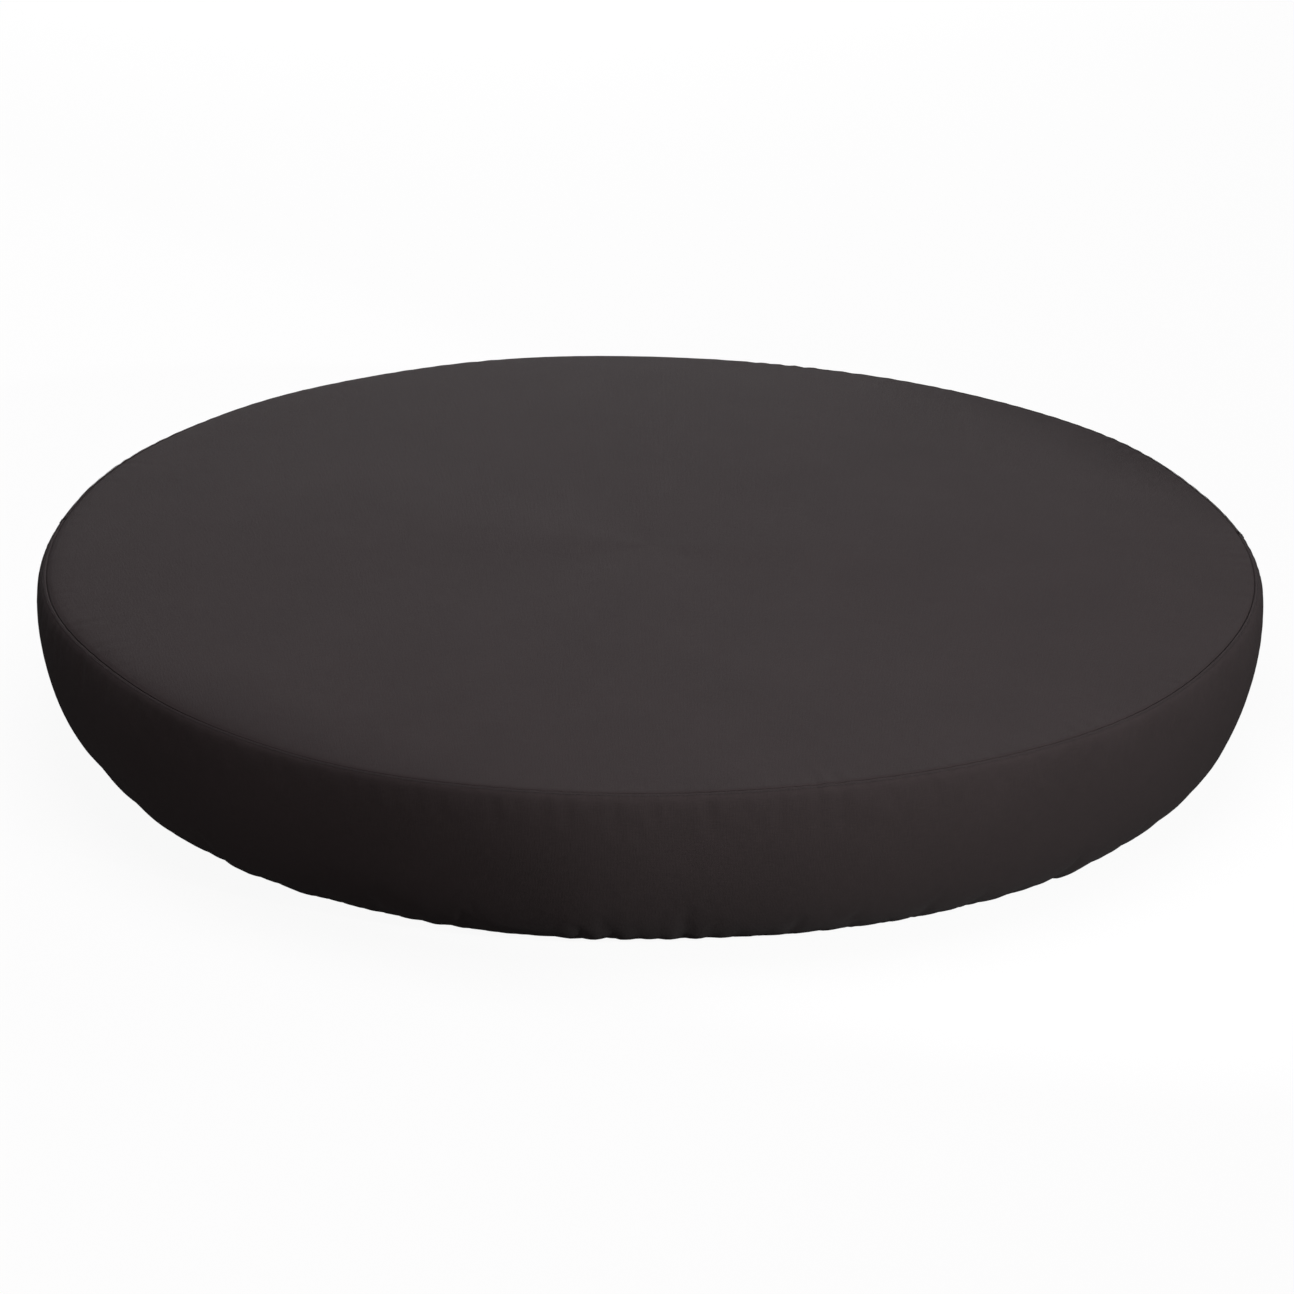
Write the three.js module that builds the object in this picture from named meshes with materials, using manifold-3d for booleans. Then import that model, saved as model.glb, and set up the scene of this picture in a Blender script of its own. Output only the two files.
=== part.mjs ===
// Round fitted spa cover: a woven jacket over an insulating foam core, with a padded skirt and an elastic hem.
// Millimetres, +Z up. The origin is the middle of the hem's resting plane, -Y is the front.
import * as THREE from 'three';
import { mergeVertices } from 'three/addons/utils/BufferGeometryUtils.js';
import Module from 'manifold-3d';

const wasm = await Module();
wasm.setup();

// Driving dimensions
const COVER_RADIUS = 1016; // 80 in across at the widest line of the band
const DROP = 305; // 12 in from the top seam to the hem
const CROWN = 20; // rise of the top panel from the seam to the middle
const SEAM_RADIUS = 1000; // the top seam is pulled in from the widest line
const WIDEST_Z = 250; // height of the widest line
const TUCK_RADIUS = 843; // radius that the skirt would reach if it ran down to the floor
const HEM_OUTER = 876;
const HEM_INNER = 846;
const HEM_HEIGHT = 12;
const CLOTH = 2.5; // coated woven polyester with its backing
const FIT = 0.5; // gap between pieces that touch
const FACETS = 60; // facets in a full circle
const WEDGE_STEP = 30; // degrees between the corners of a cutting wedge, which stay outside the cover
const ZIP_FACETS = 120; // the slider has to run true along the zip

// Core and its wrapping
const CORE_RADIUS = 968;
const CORE_THICKNESS = 150; // 6 in of expanded polystyrene
const CORE_BOTTOM = 122;
const CORE_TOP = CORE_BOTTOM + CORE_THICKNESS;
const FILM = 1; // polyethylene vapour film
const FILM_LAP = 60;
const WRAP_RADIUS = CORE_RADIUS + FIT + FILM; // outside of the lower film cup
const TOP_WRAP_RADIUS = WRAP_RADIUS + FIT + FILM;
const CHANNEL_WEB = 2;
const CHANNEL_FLANGE = 28;
const CHANNEL_HALF_LENGTH = 930;

// Underside lining and its zip
const LINING_BOTTOM = 116;
const LINING_TOP = LINING_BOTTOM + CLOTH;
const ZIP_RADIUS = 860; // centre line of the zip track
const LINING_RADIUS = ZIP_RADIUS - 13;
const BORDER_INNER = ZIP_RADIUS + 11;
const BORDER_OUTER = 979;
const RIM_SEAT_INNER = BORDER_INNER + 15; // the border is thicker from here out, where the tub's rim bears
const RIM_SEAT_BOTTOM = LINING_BOTTOM - 0.5;
const ZIP_START = 10; // degrees from +X, where the zip is fully open
const ZIP_END = 170; // where the zip is closed
const TAPE_BOTTOM = 113;
const TAPE_TOP = 114.6;
const TAPE_IN = 2.2; // from the zip's centre line to a tape's near and far edges
const TAPE_OUT = 24;
const COIL_BOTTOM = 110;
const COIL_IN = 1.4; // from the zip's centre line to a coil's near and far edges
const COIL_OUT = 5.4;
const ZIP_GAP = 0.3; // between a coil and its tape
const SLIDER_ANGLE = ZIP_END - 2;
const SLIDER_HALF_LENGTH = 12; // along the track
const SLIDER_HALF_WIDTH = 10;
const PULL_HINGE_Z = 101;
const PULL_BOTTOM = 62;

// Drain eyelets in the lining
const EYELET_COUNT = 4;
const EYELET_RADIUS = 600;
const EYELET_BORE = 6;
const EYELET_FLANGE = 13;
const EYELET_SIDES = 12;

// Lifting handles on the rear of the band, centred on facets
const HANDLE_ANGLES = { handle_right: 27, handle_left: 153 };
const HANDLE_HALF_SPREAD = 6; // degrees from a handle's middle to each sewn end
const HANDLE_Z = 232;
const PATCH_HALF = 24; // half the width of the patch under each sewn end
const PATCH_THICKNESS = 4;
const HANDLE_PIVOT = 10; // from the band's face to the line that the handle swings about
const HANDLE_DROOP = 32; // degrees below level when it hangs against the band
const WEBBING = 3;
const WEBBING_WIDTH = 30;
const HANDLE_BOW = 34; // depth of the finger gap at the middle
const HANDLE_STEPS = 10;

// Tie-down straps stowed against the inside of the skirt
const STRAP_ANGLES = [45, 135, 225, 315]; // degrees
const STRAP_WIDTH = 25;
const STRAP_THICKNESS = 2;
const STRAP_TOP = 106.5;
const STRAP_BOTTOM = 64;
const BUCKLE_DROP = 21; // height that the leaning buckle takes up
const BUCKLE_THICKNESS = 6;
const SKIRT_FOAM = 5;
const ANCHOR_HALF = 20; // half the length of the tab over each strap's sewn end
const ANCHOR_SPAN = [BORDER_OUTER - 27, BORDER_OUTER - 5]; // radii

// Side seams, where the front and rear lengths of the band are joined
const SIDE_SEAM_ANGLE = 9; // degrees behind the X axis
const SIDE_SEAM_HALF = 0.45; // degrees
const SIDE_SEAM_SLIT = 0.03; // degrees left open between each length and the seam
const SEAM_STRIP = 1.3; // thickness of the felled strip

const COLOURS = {
  jacket: 0x3e383a,
  lining: 0x2a2729,
  foam: 0xf0f0ee,
  film: 0xc9d4da,
  wadding: 0xe6e4de,
  elastic: 0xdcdcdc,
  metal: 0x9a9da0,
  plastic: 0x1c1c1e,
};

function material(colour, roughness = 0.9, metalness = 0) {
  return new THREE.MeshStandardMaterial({ color: COLOURS[colour], roughness, metalness });
}

const FABRIC = material('jacket');
const LINING = material('lining');
const FOAM = material('foam');
const VAPOUR_FILM = material('film', 0.35);
const WADDING = material('wadding');
const ELASTIC = material('elastic', 0.7);
const METAL = material('metal', 0.35, 1);
const PLASTIC = material('plastic', 0.5);

// ---- Solids ----

function solidOf(geometry) {
  const bare = geometry.clone();
  bare.deleteAttribute('normal');
  bare.deleteAttribute('uv');
  const merged = mergeVertices(bare, 1e-4);
  return new wasm.Manifold(
    new wasm.Mesh({
      numProp: 3,
      vertProperties: merged.attributes.position.array,
      triVerts: new Uint32Array(merged.index.array),
    }),
  );
}

function geometryOf(solid) {
  const mesh = solid.getMesh();
  const geometry = new THREE.BufferGeometry();
  geometry.setAttribute('position', new THREE.BufferAttribute(mesh.vertProperties, 3));
  geometry.setIndex(new THREE.BufferAttribute(mesh.triVerts, 1));
  geometry.computeVertexNormals();
  return geometry;
}

// A profile of [radius, height] points turned about +Z. A profile that leaves the axis is closed on itself.
function revolve(profile, facets = FACETS) {
  const points = profile.map(([r, z]) => new THREE.Vector2(r, z));
  if (THREE.ShapeUtils.area(points) < 0) points.reverse();
  const onAxis = points.filter((p) => p.x === 0);
  if (onAxis.length === 0) points.push(points[0].clone());
  while (onAxis.length > 0 && !(points[0].x === 0 && points.at(-1).x === 0)) points.push(points.shift());
  return new THREE.LatheGeometry(points, facets).rotateX(Math.PI / 2);
}

function rectangle(r0, r1, z0, z1) {
  return [[r0, z0], [r1, z0], [r1, z1], [r0, z1]];
}

// A wedge about +Z, from one angle to a larger one, that reaches past the cover.
function sector(from, to) {
  const reach = COVER_RADIUS * 1.3;
  const shape = new THREE.Shape();
  shape.moveTo(0, 0);
  const steps = Math.ceil((to - from) / WEDGE_STEP);
  for (let i = 0; i <= steps; i++) {
    const angle = THREE.MathUtils.degToRad(from + ((to - from) * i) / steps);
    shape.lineTo(reach * Math.cos(angle), reach * Math.sin(angle));
  }
  return new THREE.ExtrudeGeometry(shape, { depth: DROP * 2, bevelEnabled: false }).translate(0, 0, -DROP / 2);
}

function arcOf(geometry, from, to) {
  return geometryOf(solidOf(geometry).intersect(solidOf(sector(from, to))));
}

function box(x0, x1, y0, y1, z0, z1) {
  const geometry = new THREE.BoxGeometry(x1 - x0, y1 - y0, z1 - z0);
  return geometry.translate((x0 + x1) / 2, (y0 + y1) / 2, (z0 + z1) / 2);
}

function joined(...geometries) {
  return geometryOf(geometries.map(solidOf).reduce((a, b) => a.add(b)));
}

function bored(geometry, ...holes) {
  return geometryOf(holes.map(solidOf).reduce((a, b) => a.subtract(b), solidOf(geometry)));
}

// A rod of the given radius along X.
function rodX(radius, x0, x1, z) {
  const geometry = new THREE.CylinderGeometry(radius, radius, x1 - x0, 16).rotateZ(Math.PI / 2);
  return geometry.translate((x0 + x1) / 2, 0, z);
}

// A flat [x, z] outline, given thickness along Y about y = 0.
function plateY(outline, thickness) {
  const shape = new THREE.Shape(outline.map(([x, z]) => new THREE.Vector2(x, z)));
  const geometry = new THREE.ExtrudeGeometry(shape, { depth: thickness, bevelEnabled: false });
  return geometry.rotateX(Math.PI / 2).translate(0, thickness / 2, 0);
}

// ---- Outline of the jacket ----

function crownHeight(r) {
  return DROP + CROWN * (1 - (r / SEAM_RADIUS) ** 2.5);
}

function crownProfile(radius, drop, steps) {
  return Array.from({ length: steps + 1 }, (_, i) => {
    const r = (radius * i) / steps;
    return [r, crownHeight(r) - drop];
  });
}

// The band's outer line from the top seam, out to the widest line and down under the rim to the hem.
function bandLine() {
  const top = DROP - CLOTH - FIT;
  const shoulder = new THREE.QuadraticBezierCurve(
    new THREE.Vector2(SEAM_RADIUS, top),
    new THREE.Vector2(COVER_RADIUS - 3, (top + WIDEST_Z) / 2 + 8),
    new THREE.Vector2(COVER_RADIUS, WIDEST_Z),
  );
  const reach = COVER_RADIUS - TUCK_RADIUS;
  const end = Math.acos((HEM_OUTER + FIT - TUCK_RADIUS) / reach);
  const tuck = new THREE.EllipseCurve(TUCK_RADIUS, WIDEST_Z, reach, WIDEST_Z, 0, -end, true);
  return [...shoulder.getPoints(2), ...tuck.getPoints(6).slice(1)].map((p) => [p.x, p.y]);
}

// A line moved towards the inside of the cover.
function inset(line, distance) {
  return line.map(([r, z], i) => {
    const [r0, z0] = line[Math.max(0, i - 1)];
    const [r1, z1] = line[Math.min(line.length - 1, i + 1)];
    const length = Math.hypot(r1 - r0, z1 - z0);
    return [r + ((z1 - z0) / length) * distance, z - ((r1 - r0) / length) * distance];
  });
}

function layer(line, from, thickness) {
  return [...inset(line, from), ...inset(line, from + thickness).reverse()];
}

// The radius of a line at a height.
function radiusAt(line, height) {
  const i = line.findIndex(([, z], k) => k > 0 && z <= height);
  const [[r0, z0], [r1, z1]] = [line[i - 1], line[i]];
  return r0 + ((r1 - r0) * (height - z0)) / (z1 - z0);
}

// The part of a line between two heights, with its ends cut exactly there.
function between(line, high, low) {
  const inside = line.filter(([, z]) => z < high && z > low);
  return [[radiusAt(line, high), high], ...inside, [radiusAt(line, low), low]];
}

const BAND_LINE = bandLine();
const BAND_INSIDE = inset(BAND_LINE, CLOTH + FIT);

const cover = new THREE.Group();

function add(name, geometry, finish, turn = 0) {
  const mesh = new THREE.Mesh(geometry, finish);
  mesh.name = name;
  mesh.rotation.z = THREE.MathUtils.degToRad(turn);
  cover.add(mesh);
}

// ---- Jacket ----

function addJacket() {
  const panel = [...crownProfile(SEAM_RADIUS, 0, 4), ...crownProfile(SEAM_RADIUS, CLOTH, 4).reverse()];
  add('top_panel', revolve(panel), FABRIC);

  const band = revolve(layer(BAND_LINE, 0, CLOTH));
  const lengthOfBand = (from, to) => arcOf(band, from + SIDE_SEAM_SLIT, to - SIDE_SEAM_SLIT);
  add('side_band_front', lengthOfBand(180 - SIDE_SEAM_ANGLE, 360 + SIDE_SEAM_ANGLE), FABRIC);
  add('side_band_rear', lengthOfBand(SIDE_SEAM_ANGLE, 180 - SIDE_SEAM_ANGLE), FABRIC);

  const seamStrip = revolve(layer(between(BAND_LINE, DROP - 8, HEM_HEIGHT), -FIT - SEAM_STRIP, SEAM_STRIP));
  const sides = { side_seam_right: SIDE_SEAM_ANGLE, side_seam_left: 180 - SIDE_SEAM_ANGLE };
  for (const [name, angle] of Object.entries(sides)) {
    add(name, arcOf(seamStrip, angle - SIDE_SEAM_HALF, angle + SIDE_SEAM_HALF), FABRIC);
  }

  add('top_seam_binding', revolve(rectangle(SEAM_RADIUS - 13, SEAM_RADIUS - 3.5, 290, 299)), LINING);
}

// The hem is folded into a casing that is open towards the band, with the elastic lying inside it.
function addHem() {
  const casing = [
    [HEM_INNER, 0],
    [HEM_OUTER, 0],
    [HEM_OUTER, CLOTH],
    [HEM_INNER + CLOTH, CLOTH],
    [HEM_INNER + CLOTH, HEM_HEIGHT - CLOTH],
    [HEM_OUTER - 3, HEM_HEIGHT - CLOTH],
    [HEM_OUTER - 3, HEM_HEIGHT],
    [HEM_INNER, HEM_HEIGHT],
  ];
  add('hem_casing', revolve(casing), FABRIC);
  const elastic = rectangle(HEM_INNER + 4, HEM_OUTER - 4, CLOTH + 1.5, HEM_HEIGHT - CLOTH - 1.5);
  add('hem_elastic', revolve(elastic), ELASTIC);
  const skirt = between(BAND_INSIDE, RIM_SEAT_BOTTOM - 6, HEM_HEIGHT + 6);
  add('skirt_padding', revolve(layer(skirt, 0, SKIRT_FOAM)), WADDING);
}

// ---- Core ----

function addCore() {
  const disc = solidOf(revolve([[0, CORE_BOTTOM], ...rectangle(CORE_RADIUS, CORE_RADIUS, CORE_BOTTOM, CORE_TOP)
    .slice(1, 3), [0, CORE_TOP]]));
  const reach = COVER_RADIUS;
  const middle = CHANNEL_WEB + FIT;
  for (const [name, side] of Object.entries({ right: 1, left: -1 })) {
    const span = [side * middle, side * reach].sort((a, b) => a - b);
    const groove = [side * middle, side * (CHANNEL_FLANGE + 4)].sort((a, b) => a - b);
    const half = disc
      .intersect(solidOf(box(...span, -reach, reach, 0, DROP)))
      .subtract(solidOf(box(...groove, -reach, reach, CORE_TOP - 2 * CHANNEL_WEB, DROP)))
      .subtract(solidOf(box(...groove, -reach, reach, 0, CORE_BOTTOM + 2 * CHANNEL_WEB)));
    add('foam_core_' + name, geometryOf(half), FOAM);
    add('spine_channel_' + name, channel(side), METAL);
  }
}

// A C-channel that holds one foam half's straight edge. The two stand back to back under the middle of the top.
function channel(side) {
  const outer = CHANNEL_FLANGE;
  const web = [[0.2, CORE_BOTTOM + 1], [outer, CORE_BOTTOM + 1]];
  const outline = [
    ...web,
    [outer, CORE_BOTTOM + 1 + CHANNEL_WEB],
    [CHANNEL_WEB, CORE_BOTTOM + 1 + CHANNEL_WEB],
    [CHANNEL_WEB, CORE_TOP - 1 - CHANNEL_WEB],
    [outer, CORE_TOP - 1 - CHANNEL_WEB],
    [outer, CORE_TOP - 1],
    [0.2, CORE_TOP - 1],
  ].map(([x, z]) => [side * x, z]);
  return plateY(outline, 2 * CHANNEL_HALF_LENGTH);
}

function addWrapping() {
  const lapMiddle = (CORE_BOTTOM + CORE_TOP) / 2;
  const cup = (radius, floor, lip, thickness) => [
    [0, floor],
    [radius, floor],
    [radius, lip],
    [radius - FILM, lip],
    [radius - FILM, floor + thickness],
    [0, floor + thickness],
  ];
  const lower = cup(WRAP_RADIUS, CORE_BOTTOM - FIT - FILM, lapMiddle + FILM_LAP / 2, FILM);
  const upper = cup(TOP_WRAP_RADIUS, CORE_TOP + FIT + FILM, lapMiddle - FILM_LAP / 2, -FILM);
  add('vapour_film_lower', revolve(lower), VAPOUR_FILM);
  add('vapour_film_upper', revolve(upper), VAPOUR_FILM);

  const padBottom = CORE_TOP + 2 * FIT + FILM;
  const padRadius = SEAM_RADIUS - 16;
  const pad = [[0, padBottom], [padRadius, padBottom], ...crownProfile(padRadius, CLOTH + FIT, 4).reverse()];
  add('top_pad', revolve(pad), WADDING);

  const outside = between(BAND_INSIDE, CORE_TOP, CORE_BOTTOM);
  const inside = [[TOP_WRAP_RADIUS + FIT, CORE_BOTTOM], [TOP_WRAP_RADIUS + FIT, CORE_TOP]];
  add('edge_pad', revolve([...outside, ...inside]), WADDING);
}

// ---- Underside ----

function addLining() {
  const disc = [[0, LINING_BOTTOM], [LINING_RADIUS, LINING_BOTTOM], [LINING_RADIUS, LINING_TOP], [0, LINING_TOP]];
  const holes = Array.from({ length: EYELET_COUNT }, (_, i) => {
    const hole = new THREE.CylinderGeometry(EYELET_BORE + 2, EYELET_BORE + 2, 20, 16).rotateX(Math.PI / 2);
    const angle = THREE.MathUtils.degToRad((360 / EYELET_COUNT) * i + 180 / EYELET_COUNT);
    return hole.translate(EYELET_RADIUS * Math.cos(angle), EYELET_RADIUS * Math.sin(angle), LINING_BOTTOM);
  });
  add('underside_lining', bored(revolve(disc), ...holes), LINING);
  const border = [
    [BORDER_INNER, LINING_BOTTOM],
    [RIM_SEAT_INNER, LINING_BOTTOM],
    [RIM_SEAT_INNER, RIM_SEAT_BOTTOM],
    [BORDER_OUTER, RIM_SEAT_BOTTOM],
    [BORDER_OUTER, LINING_TOP],
    [BORDER_INNER, LINING_TOP],
  ];
  add('lining_border', revolve(border), LINING);
  const seam = revolve(rectangle(LINING_RADIUS - 7, BORDER_INNER + 7, TAPE_BOTTOM, TAPE_TOP));
  add('lining_seam_tape', arcOf(seam, ZIP_END + 4, 360 + ZIP_START - 4), LINING);
}

function addEyelets() {
  for (let i = 0; i < EYELET_COUNT; i++) {
    const profile = [
      [EYELET_BORE, LINING_BOTTOM - 1.5],
      [EYELET_FLANGE, LINING_BOTTOM - 1.5],
      [EYELET_FLANGE, LINING_BOTTOM - 0.4],
      [EYELET_BORE + 1.3, LINING_BOTTOM - 0.4],
      [EYELET_BORE + 1.3, LINING_TOP + 0.4],
      [EYELET_FLANGE - 2, LINING_TOP + 0.4],
      [EYELET_FLANGE - 2, LINING_TOP + 1.2],
      [EYELET_BORE, LINING_TOP + 1.2],
    ];
    const points = profile.map(([r, z]) => new THREE.Vector2(r, z));
    const ring = new THREE.LatheGeometry([...points, points[0]], EYELET_SIDES).rotateX(Math.PI / 2);
    const turn = (360 / EYELET_COUNT) * i + 180 / EYELET_COUNT;
    add('drain_eyelet_' + (i + 1), ring.translate(EYELET_RADIUS, 0, 0), METAL, turn);
  }
}

// Each row of the coil stands clear of the middle line, where the slider's neck runs.
function addZipTrack() {
  const tapes = {
    zip_tape_inner: [ZIP_RADIUS - TAPE_OUT, ZIP_RADIUS - TAPE_IN],
    zip_tape_outer: [ZIP_RADIUS + TAPE_IN, ZIP_RADIUS + TAPE_OUT],
  };
  for (const [name, [from, to]] of Object.entries(tapes)) {
    const tape = revolve(rectangle(from, to, TAPE_BOTTOM, TAPE_TOP), ZIP_FACETS);
    add(name, arcOf(tape, ZIP_START - 3, ZIP_END + 3), LINING);
  }
  const coils = {
    zip_coil_inner: [ZIP_RADIUS - COIL_OUT, ZIP_RADIUS - COIL_IN],
    zip_coil_outer: [ZIP_RADIUS + COIL_IN, ZIP_RADIUS + COIL_OUT],
  };
  for (const [name, [from, to]] of Object.entries(coils)) {
    const row = revolve(rectangle(from, to, COIL_BOTTOM, TAPE_BOTTOM - ZIP_GAP), ZIP_FACETS);
    add(name, arcOf(row, ZIP_START, ZIP_END), PLASTIC);
  }
  const stop = box(ZIP_RADIUS - 7, ZIP_RADIUS + 7, -2, 2, COIL_BOTTOM - 1, TAPE_BOTTOM - ZIP_GAP);
  add('zip_stop_open', stop, METAL, ZIP_START - 0.6);
  add('zip_stop_closed', stop.clone(), METAL, ZIP_END + 0.6);
}

// The slider grips the coil between two plates joined by a thin neck, with a bridge below for the pull.
function addSlider() {
  const at = ZIP_RADIUS;
  const half = SLIDER_HALF_LENGTH;
  const lowerPlate = box(at - SLIDER_HALF_WIDTH, at + SLIDER_HALF_WIDTH, -half, half, 106, 108.8);
  const upperPlate = box(at - 7, at + 7, -half, half, 115.2, 117.2);
  const neck = box(at - 0.9, at + 0.9, -5, 5, 108, 116);
  const walls = [-8, 8].map((x) => box(at + x - 1, at + x + 1, -half, half, 108, 112.4));
  const posts = [-5, 5].map((x) => box(at + x - 1, at + x + 1, -3, 3, 99, 107));
  const bridge = rodX(1.2, at - 5, at + 5, PULL_HINGE_Z);
  add('zip_slider', joined(lowerPlate, upperPlate, neck, ...walls, ...posts, bridge), METAL, SLIDER_ANGLE);

  const bore = rodX(1.9, at - 4, at + 4, PULL_HINGE_Z);
  const stem = box(at - 3, at + 3, -1, 1, 92, 99);
  const eye = bored(joined(rodX(3.2, at - 3, at + 3, PULL_HINGE_Z), stem), bore);
  const tab = box(at - 5, at + 5, -1, 1, PULL_BOTTOM, 94);
  add('zip_pull', joined(eye, tab), METAL, SLIDER_ANGLE);
}

// ---- Handles and straps ----

function addHandles() {
  const face = COVER_RADIUS + 0.4;
  const reach = face * Math.sin(THREE.MathUtils.degToRad(HANDLE_HALF_SPREAD)) - PATCH_HALF - 2;
  const bowed = Array.from({ length: HANDLE_STEPS + 1 }, (_, i) => {
    const along = i / HANDLE_STEPS;
    return [HANDLE_BOW * Math.sin(Math.PI * along) ** 0.8, reach * (2 * along - 1)];
  });
  const outline = [...bowed.map(([x, y]) => [x + WEBBING, y]), ...bowed.reverse()];
  const shape = new THREE.Shape(outline.map(([x, y]) => new THREE.Vector2(x - WEBBING / 2, y)));
  const strap = new THREE.ExtrudeGeometry(shape, { depth: WEBBING_WIDTH, bevelEnabled: false });
  strap.translate(0, 0, -WEBBING_WIDTH / 2).rotateY(THREE.MathUtils.degToRad(HANDLE_DROOP));
  strap.translate(face + HANDLE_PIVOT, 0, HANDLE_Z);

  const patch = box(face, face + PATCH_THICKNESS, -PATCH_HALF, PATCH_HALF, HANDLE_Z - 26, HANDLE_Z + PATCH_HALF);
  for (const [name, angle] of Object.entries(HANDLE_ANGLES)) {
    const rearward = angle < 90 ? 1 : -1;
    add(name, strap.clone(), FABRIC, angle);
    add(name + '_patch_front', patch.clone(), FABRIC, angle - rearward * HANDLE_HALF_SPREAD);
    add(name + '_patch_rear', patch.clone(), FABRIC, angle + rearward * HANDLE_HALF_SPREAD);
  }
}

// A strap follows the padding's inner face, and ends in the tongue of a side-release buckle.
function addStraps() {
  const facet = Math.cos(Math.PI / FACETS);
  const inside = inset(BAND_INSIDE, SKIRT_FOAM + 2.5).map(([r, z]) => [r * facet, z]);
  const line = between(inside, STRAP_TOP, STRAP_BOTTOM);
  const buckleEnd = STRAP_BOTTOM - BUCKLE_DROP;
  const lean = Math.atan2(radiusAt(inside, STRAP_BOTTOM) - radiusAt(inside, buckleEnd), BUCKLE_DROP);
  STRAP_ANGLES.forEach((angle, i) => {
    add('tie_strap_' + (i + 1), plateY(layer(line, 0, STRAP_THICKNESS), STRAP_WIDTH), PLASTIC, angle);
    const tongue = buckle().rotateY(lean).translate(line.at(-1)[0] - 5, 0, STRAP_BOTTOM - 1.5);
    add('tie_buckle_' + (i + 1), tongue, PLASTIC, angle);
    const anchor = box(...ANCHOR_SPAN, -ANCHOR_HALF, ANCHOR_HALF, STRAP_TOP + 2, RIM_SEAT_BOTTOM - FIT);
    add('strap_anchor_' + (i + 1), anchor, LINING, angle);
  });
}

// A frame that the strap is looped through, and two spring arms with a guide rib between them.
function buckle() {
  const half = BUCKLE_THICKNESS / 2;
  return joined(
    box(-half, half, -17, 17, -9, 0),
    box(-half, half, -15, -10, -28, -8),
    box(-half, half, 10, 15, -28, -8),
    box(-half, half, -2.5, 2.5, -26, -8),
  );
}

addJacket();
addHem();
addCore();
addWrapping();
addLining();
addEyelets();
addZipTrack();
addSlider();
addHandles();
addStraps();

export default cover;
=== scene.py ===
"""Looks for the round spa cover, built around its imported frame. Metres, +Z up, -Y is the front."""
from math import acos, atan2, copysign, cos, pi, radians, sin, sqrt

import bpy
import numpy as np
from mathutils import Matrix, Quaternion, Vector


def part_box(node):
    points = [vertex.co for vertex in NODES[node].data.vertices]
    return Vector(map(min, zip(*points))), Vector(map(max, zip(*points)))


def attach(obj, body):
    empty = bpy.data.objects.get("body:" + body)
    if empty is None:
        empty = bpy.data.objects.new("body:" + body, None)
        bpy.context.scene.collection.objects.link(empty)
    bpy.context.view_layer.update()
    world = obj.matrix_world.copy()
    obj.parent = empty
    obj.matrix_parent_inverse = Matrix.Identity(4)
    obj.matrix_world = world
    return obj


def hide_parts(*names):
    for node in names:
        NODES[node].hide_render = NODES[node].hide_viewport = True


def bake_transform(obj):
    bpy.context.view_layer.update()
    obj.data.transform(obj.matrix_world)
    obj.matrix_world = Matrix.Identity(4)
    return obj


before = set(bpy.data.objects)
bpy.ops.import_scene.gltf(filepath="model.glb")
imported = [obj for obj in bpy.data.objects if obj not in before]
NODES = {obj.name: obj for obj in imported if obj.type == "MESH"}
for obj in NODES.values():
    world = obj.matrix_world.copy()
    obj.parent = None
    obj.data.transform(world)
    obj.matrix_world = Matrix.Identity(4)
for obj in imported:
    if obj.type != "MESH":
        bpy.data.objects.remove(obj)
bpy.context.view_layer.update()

COVER = "cover"  # the body that everything fixed rides on

# ---- Sizes read from the frame ----
SEAM_RADIUS, _, CROWN_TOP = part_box("top_panel")[1]
SEAM_Z = 0.305
CROWN = CROWN_TOP - SEAM_Z
WIDE_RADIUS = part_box("side_band_front")[1].x
WIDE_Z = 0.250
TUCK_RADIUS = 0.843
HEM_INNER = 0.846
SKIRT_DEPTH = 0.0085  # from the band's outer face to the foam's face inside the skirt
HEM_OUTER, _, HEM_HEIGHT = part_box("hem_casing")[1]
LINING_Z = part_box("underside_lining")[0].z
LINING_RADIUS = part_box("underside_lining")[1].x
BORDER_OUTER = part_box("lining_border")[1].x
ZIP_RADIUS = LINING_RADIUS + 0.013
BORDER_INNER = ZIP_RADIUS + 0.011
ZIP_START, ZIP_END = radians(10), radians(170)
TAPE_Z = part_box("zip_tape_inner")[0].z
COIL_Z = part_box("zip_coil_inner")[0].z
SIDE_SEAM = radians(9)
EYELET_RING, DRAIN_RADIUS = 0.600, 0.0062
EYELET_ANGLES = (45, 135, 225, 315)
HANDLE_Z = 0.232
HANDLE_FACE = 1.0164  # radius of the band's face behind the handles
HANDLE_PIVOT = 0.010  # from that face to the line that a handle swings about
HANDLE_BOW, HANDLE_DROOP = 0.034, radians(32)
HANDLE_WIDTH, STRAP_WIDTH = 0.030, 0.025
HANDLES = {"handle_right": 27, "handle_left": 153}
HANDLE_SPREAD = 6  # degrees from a handle's middle to each sewn end
STRAP_ANGLES = (45, 135, 225, 315)
STRAP_LINE = [(0.9698, 0.1069), (0.9653, 0.0970), (0.9422, 0.0646)]  # (radius, height), top to bottom

COLUMNS = 720  # columns of the jacket's grid round the full circle
ANGLES = np.arange(COLUMNS) * 2 * pi / COLUMNS
# How many points a ring of a disc has inside each radius.
TOP_RINGS = [(0.10, 45), (0.20, 90), (0.36, 180), (0.52, 360), (9, COLUMNS)]
LINING_RINGS = [(0.10, 45), (0.22, 90), (0.45, 180), (9, 360)]
DOWN = np.array([0, 0, -1.0])

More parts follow.
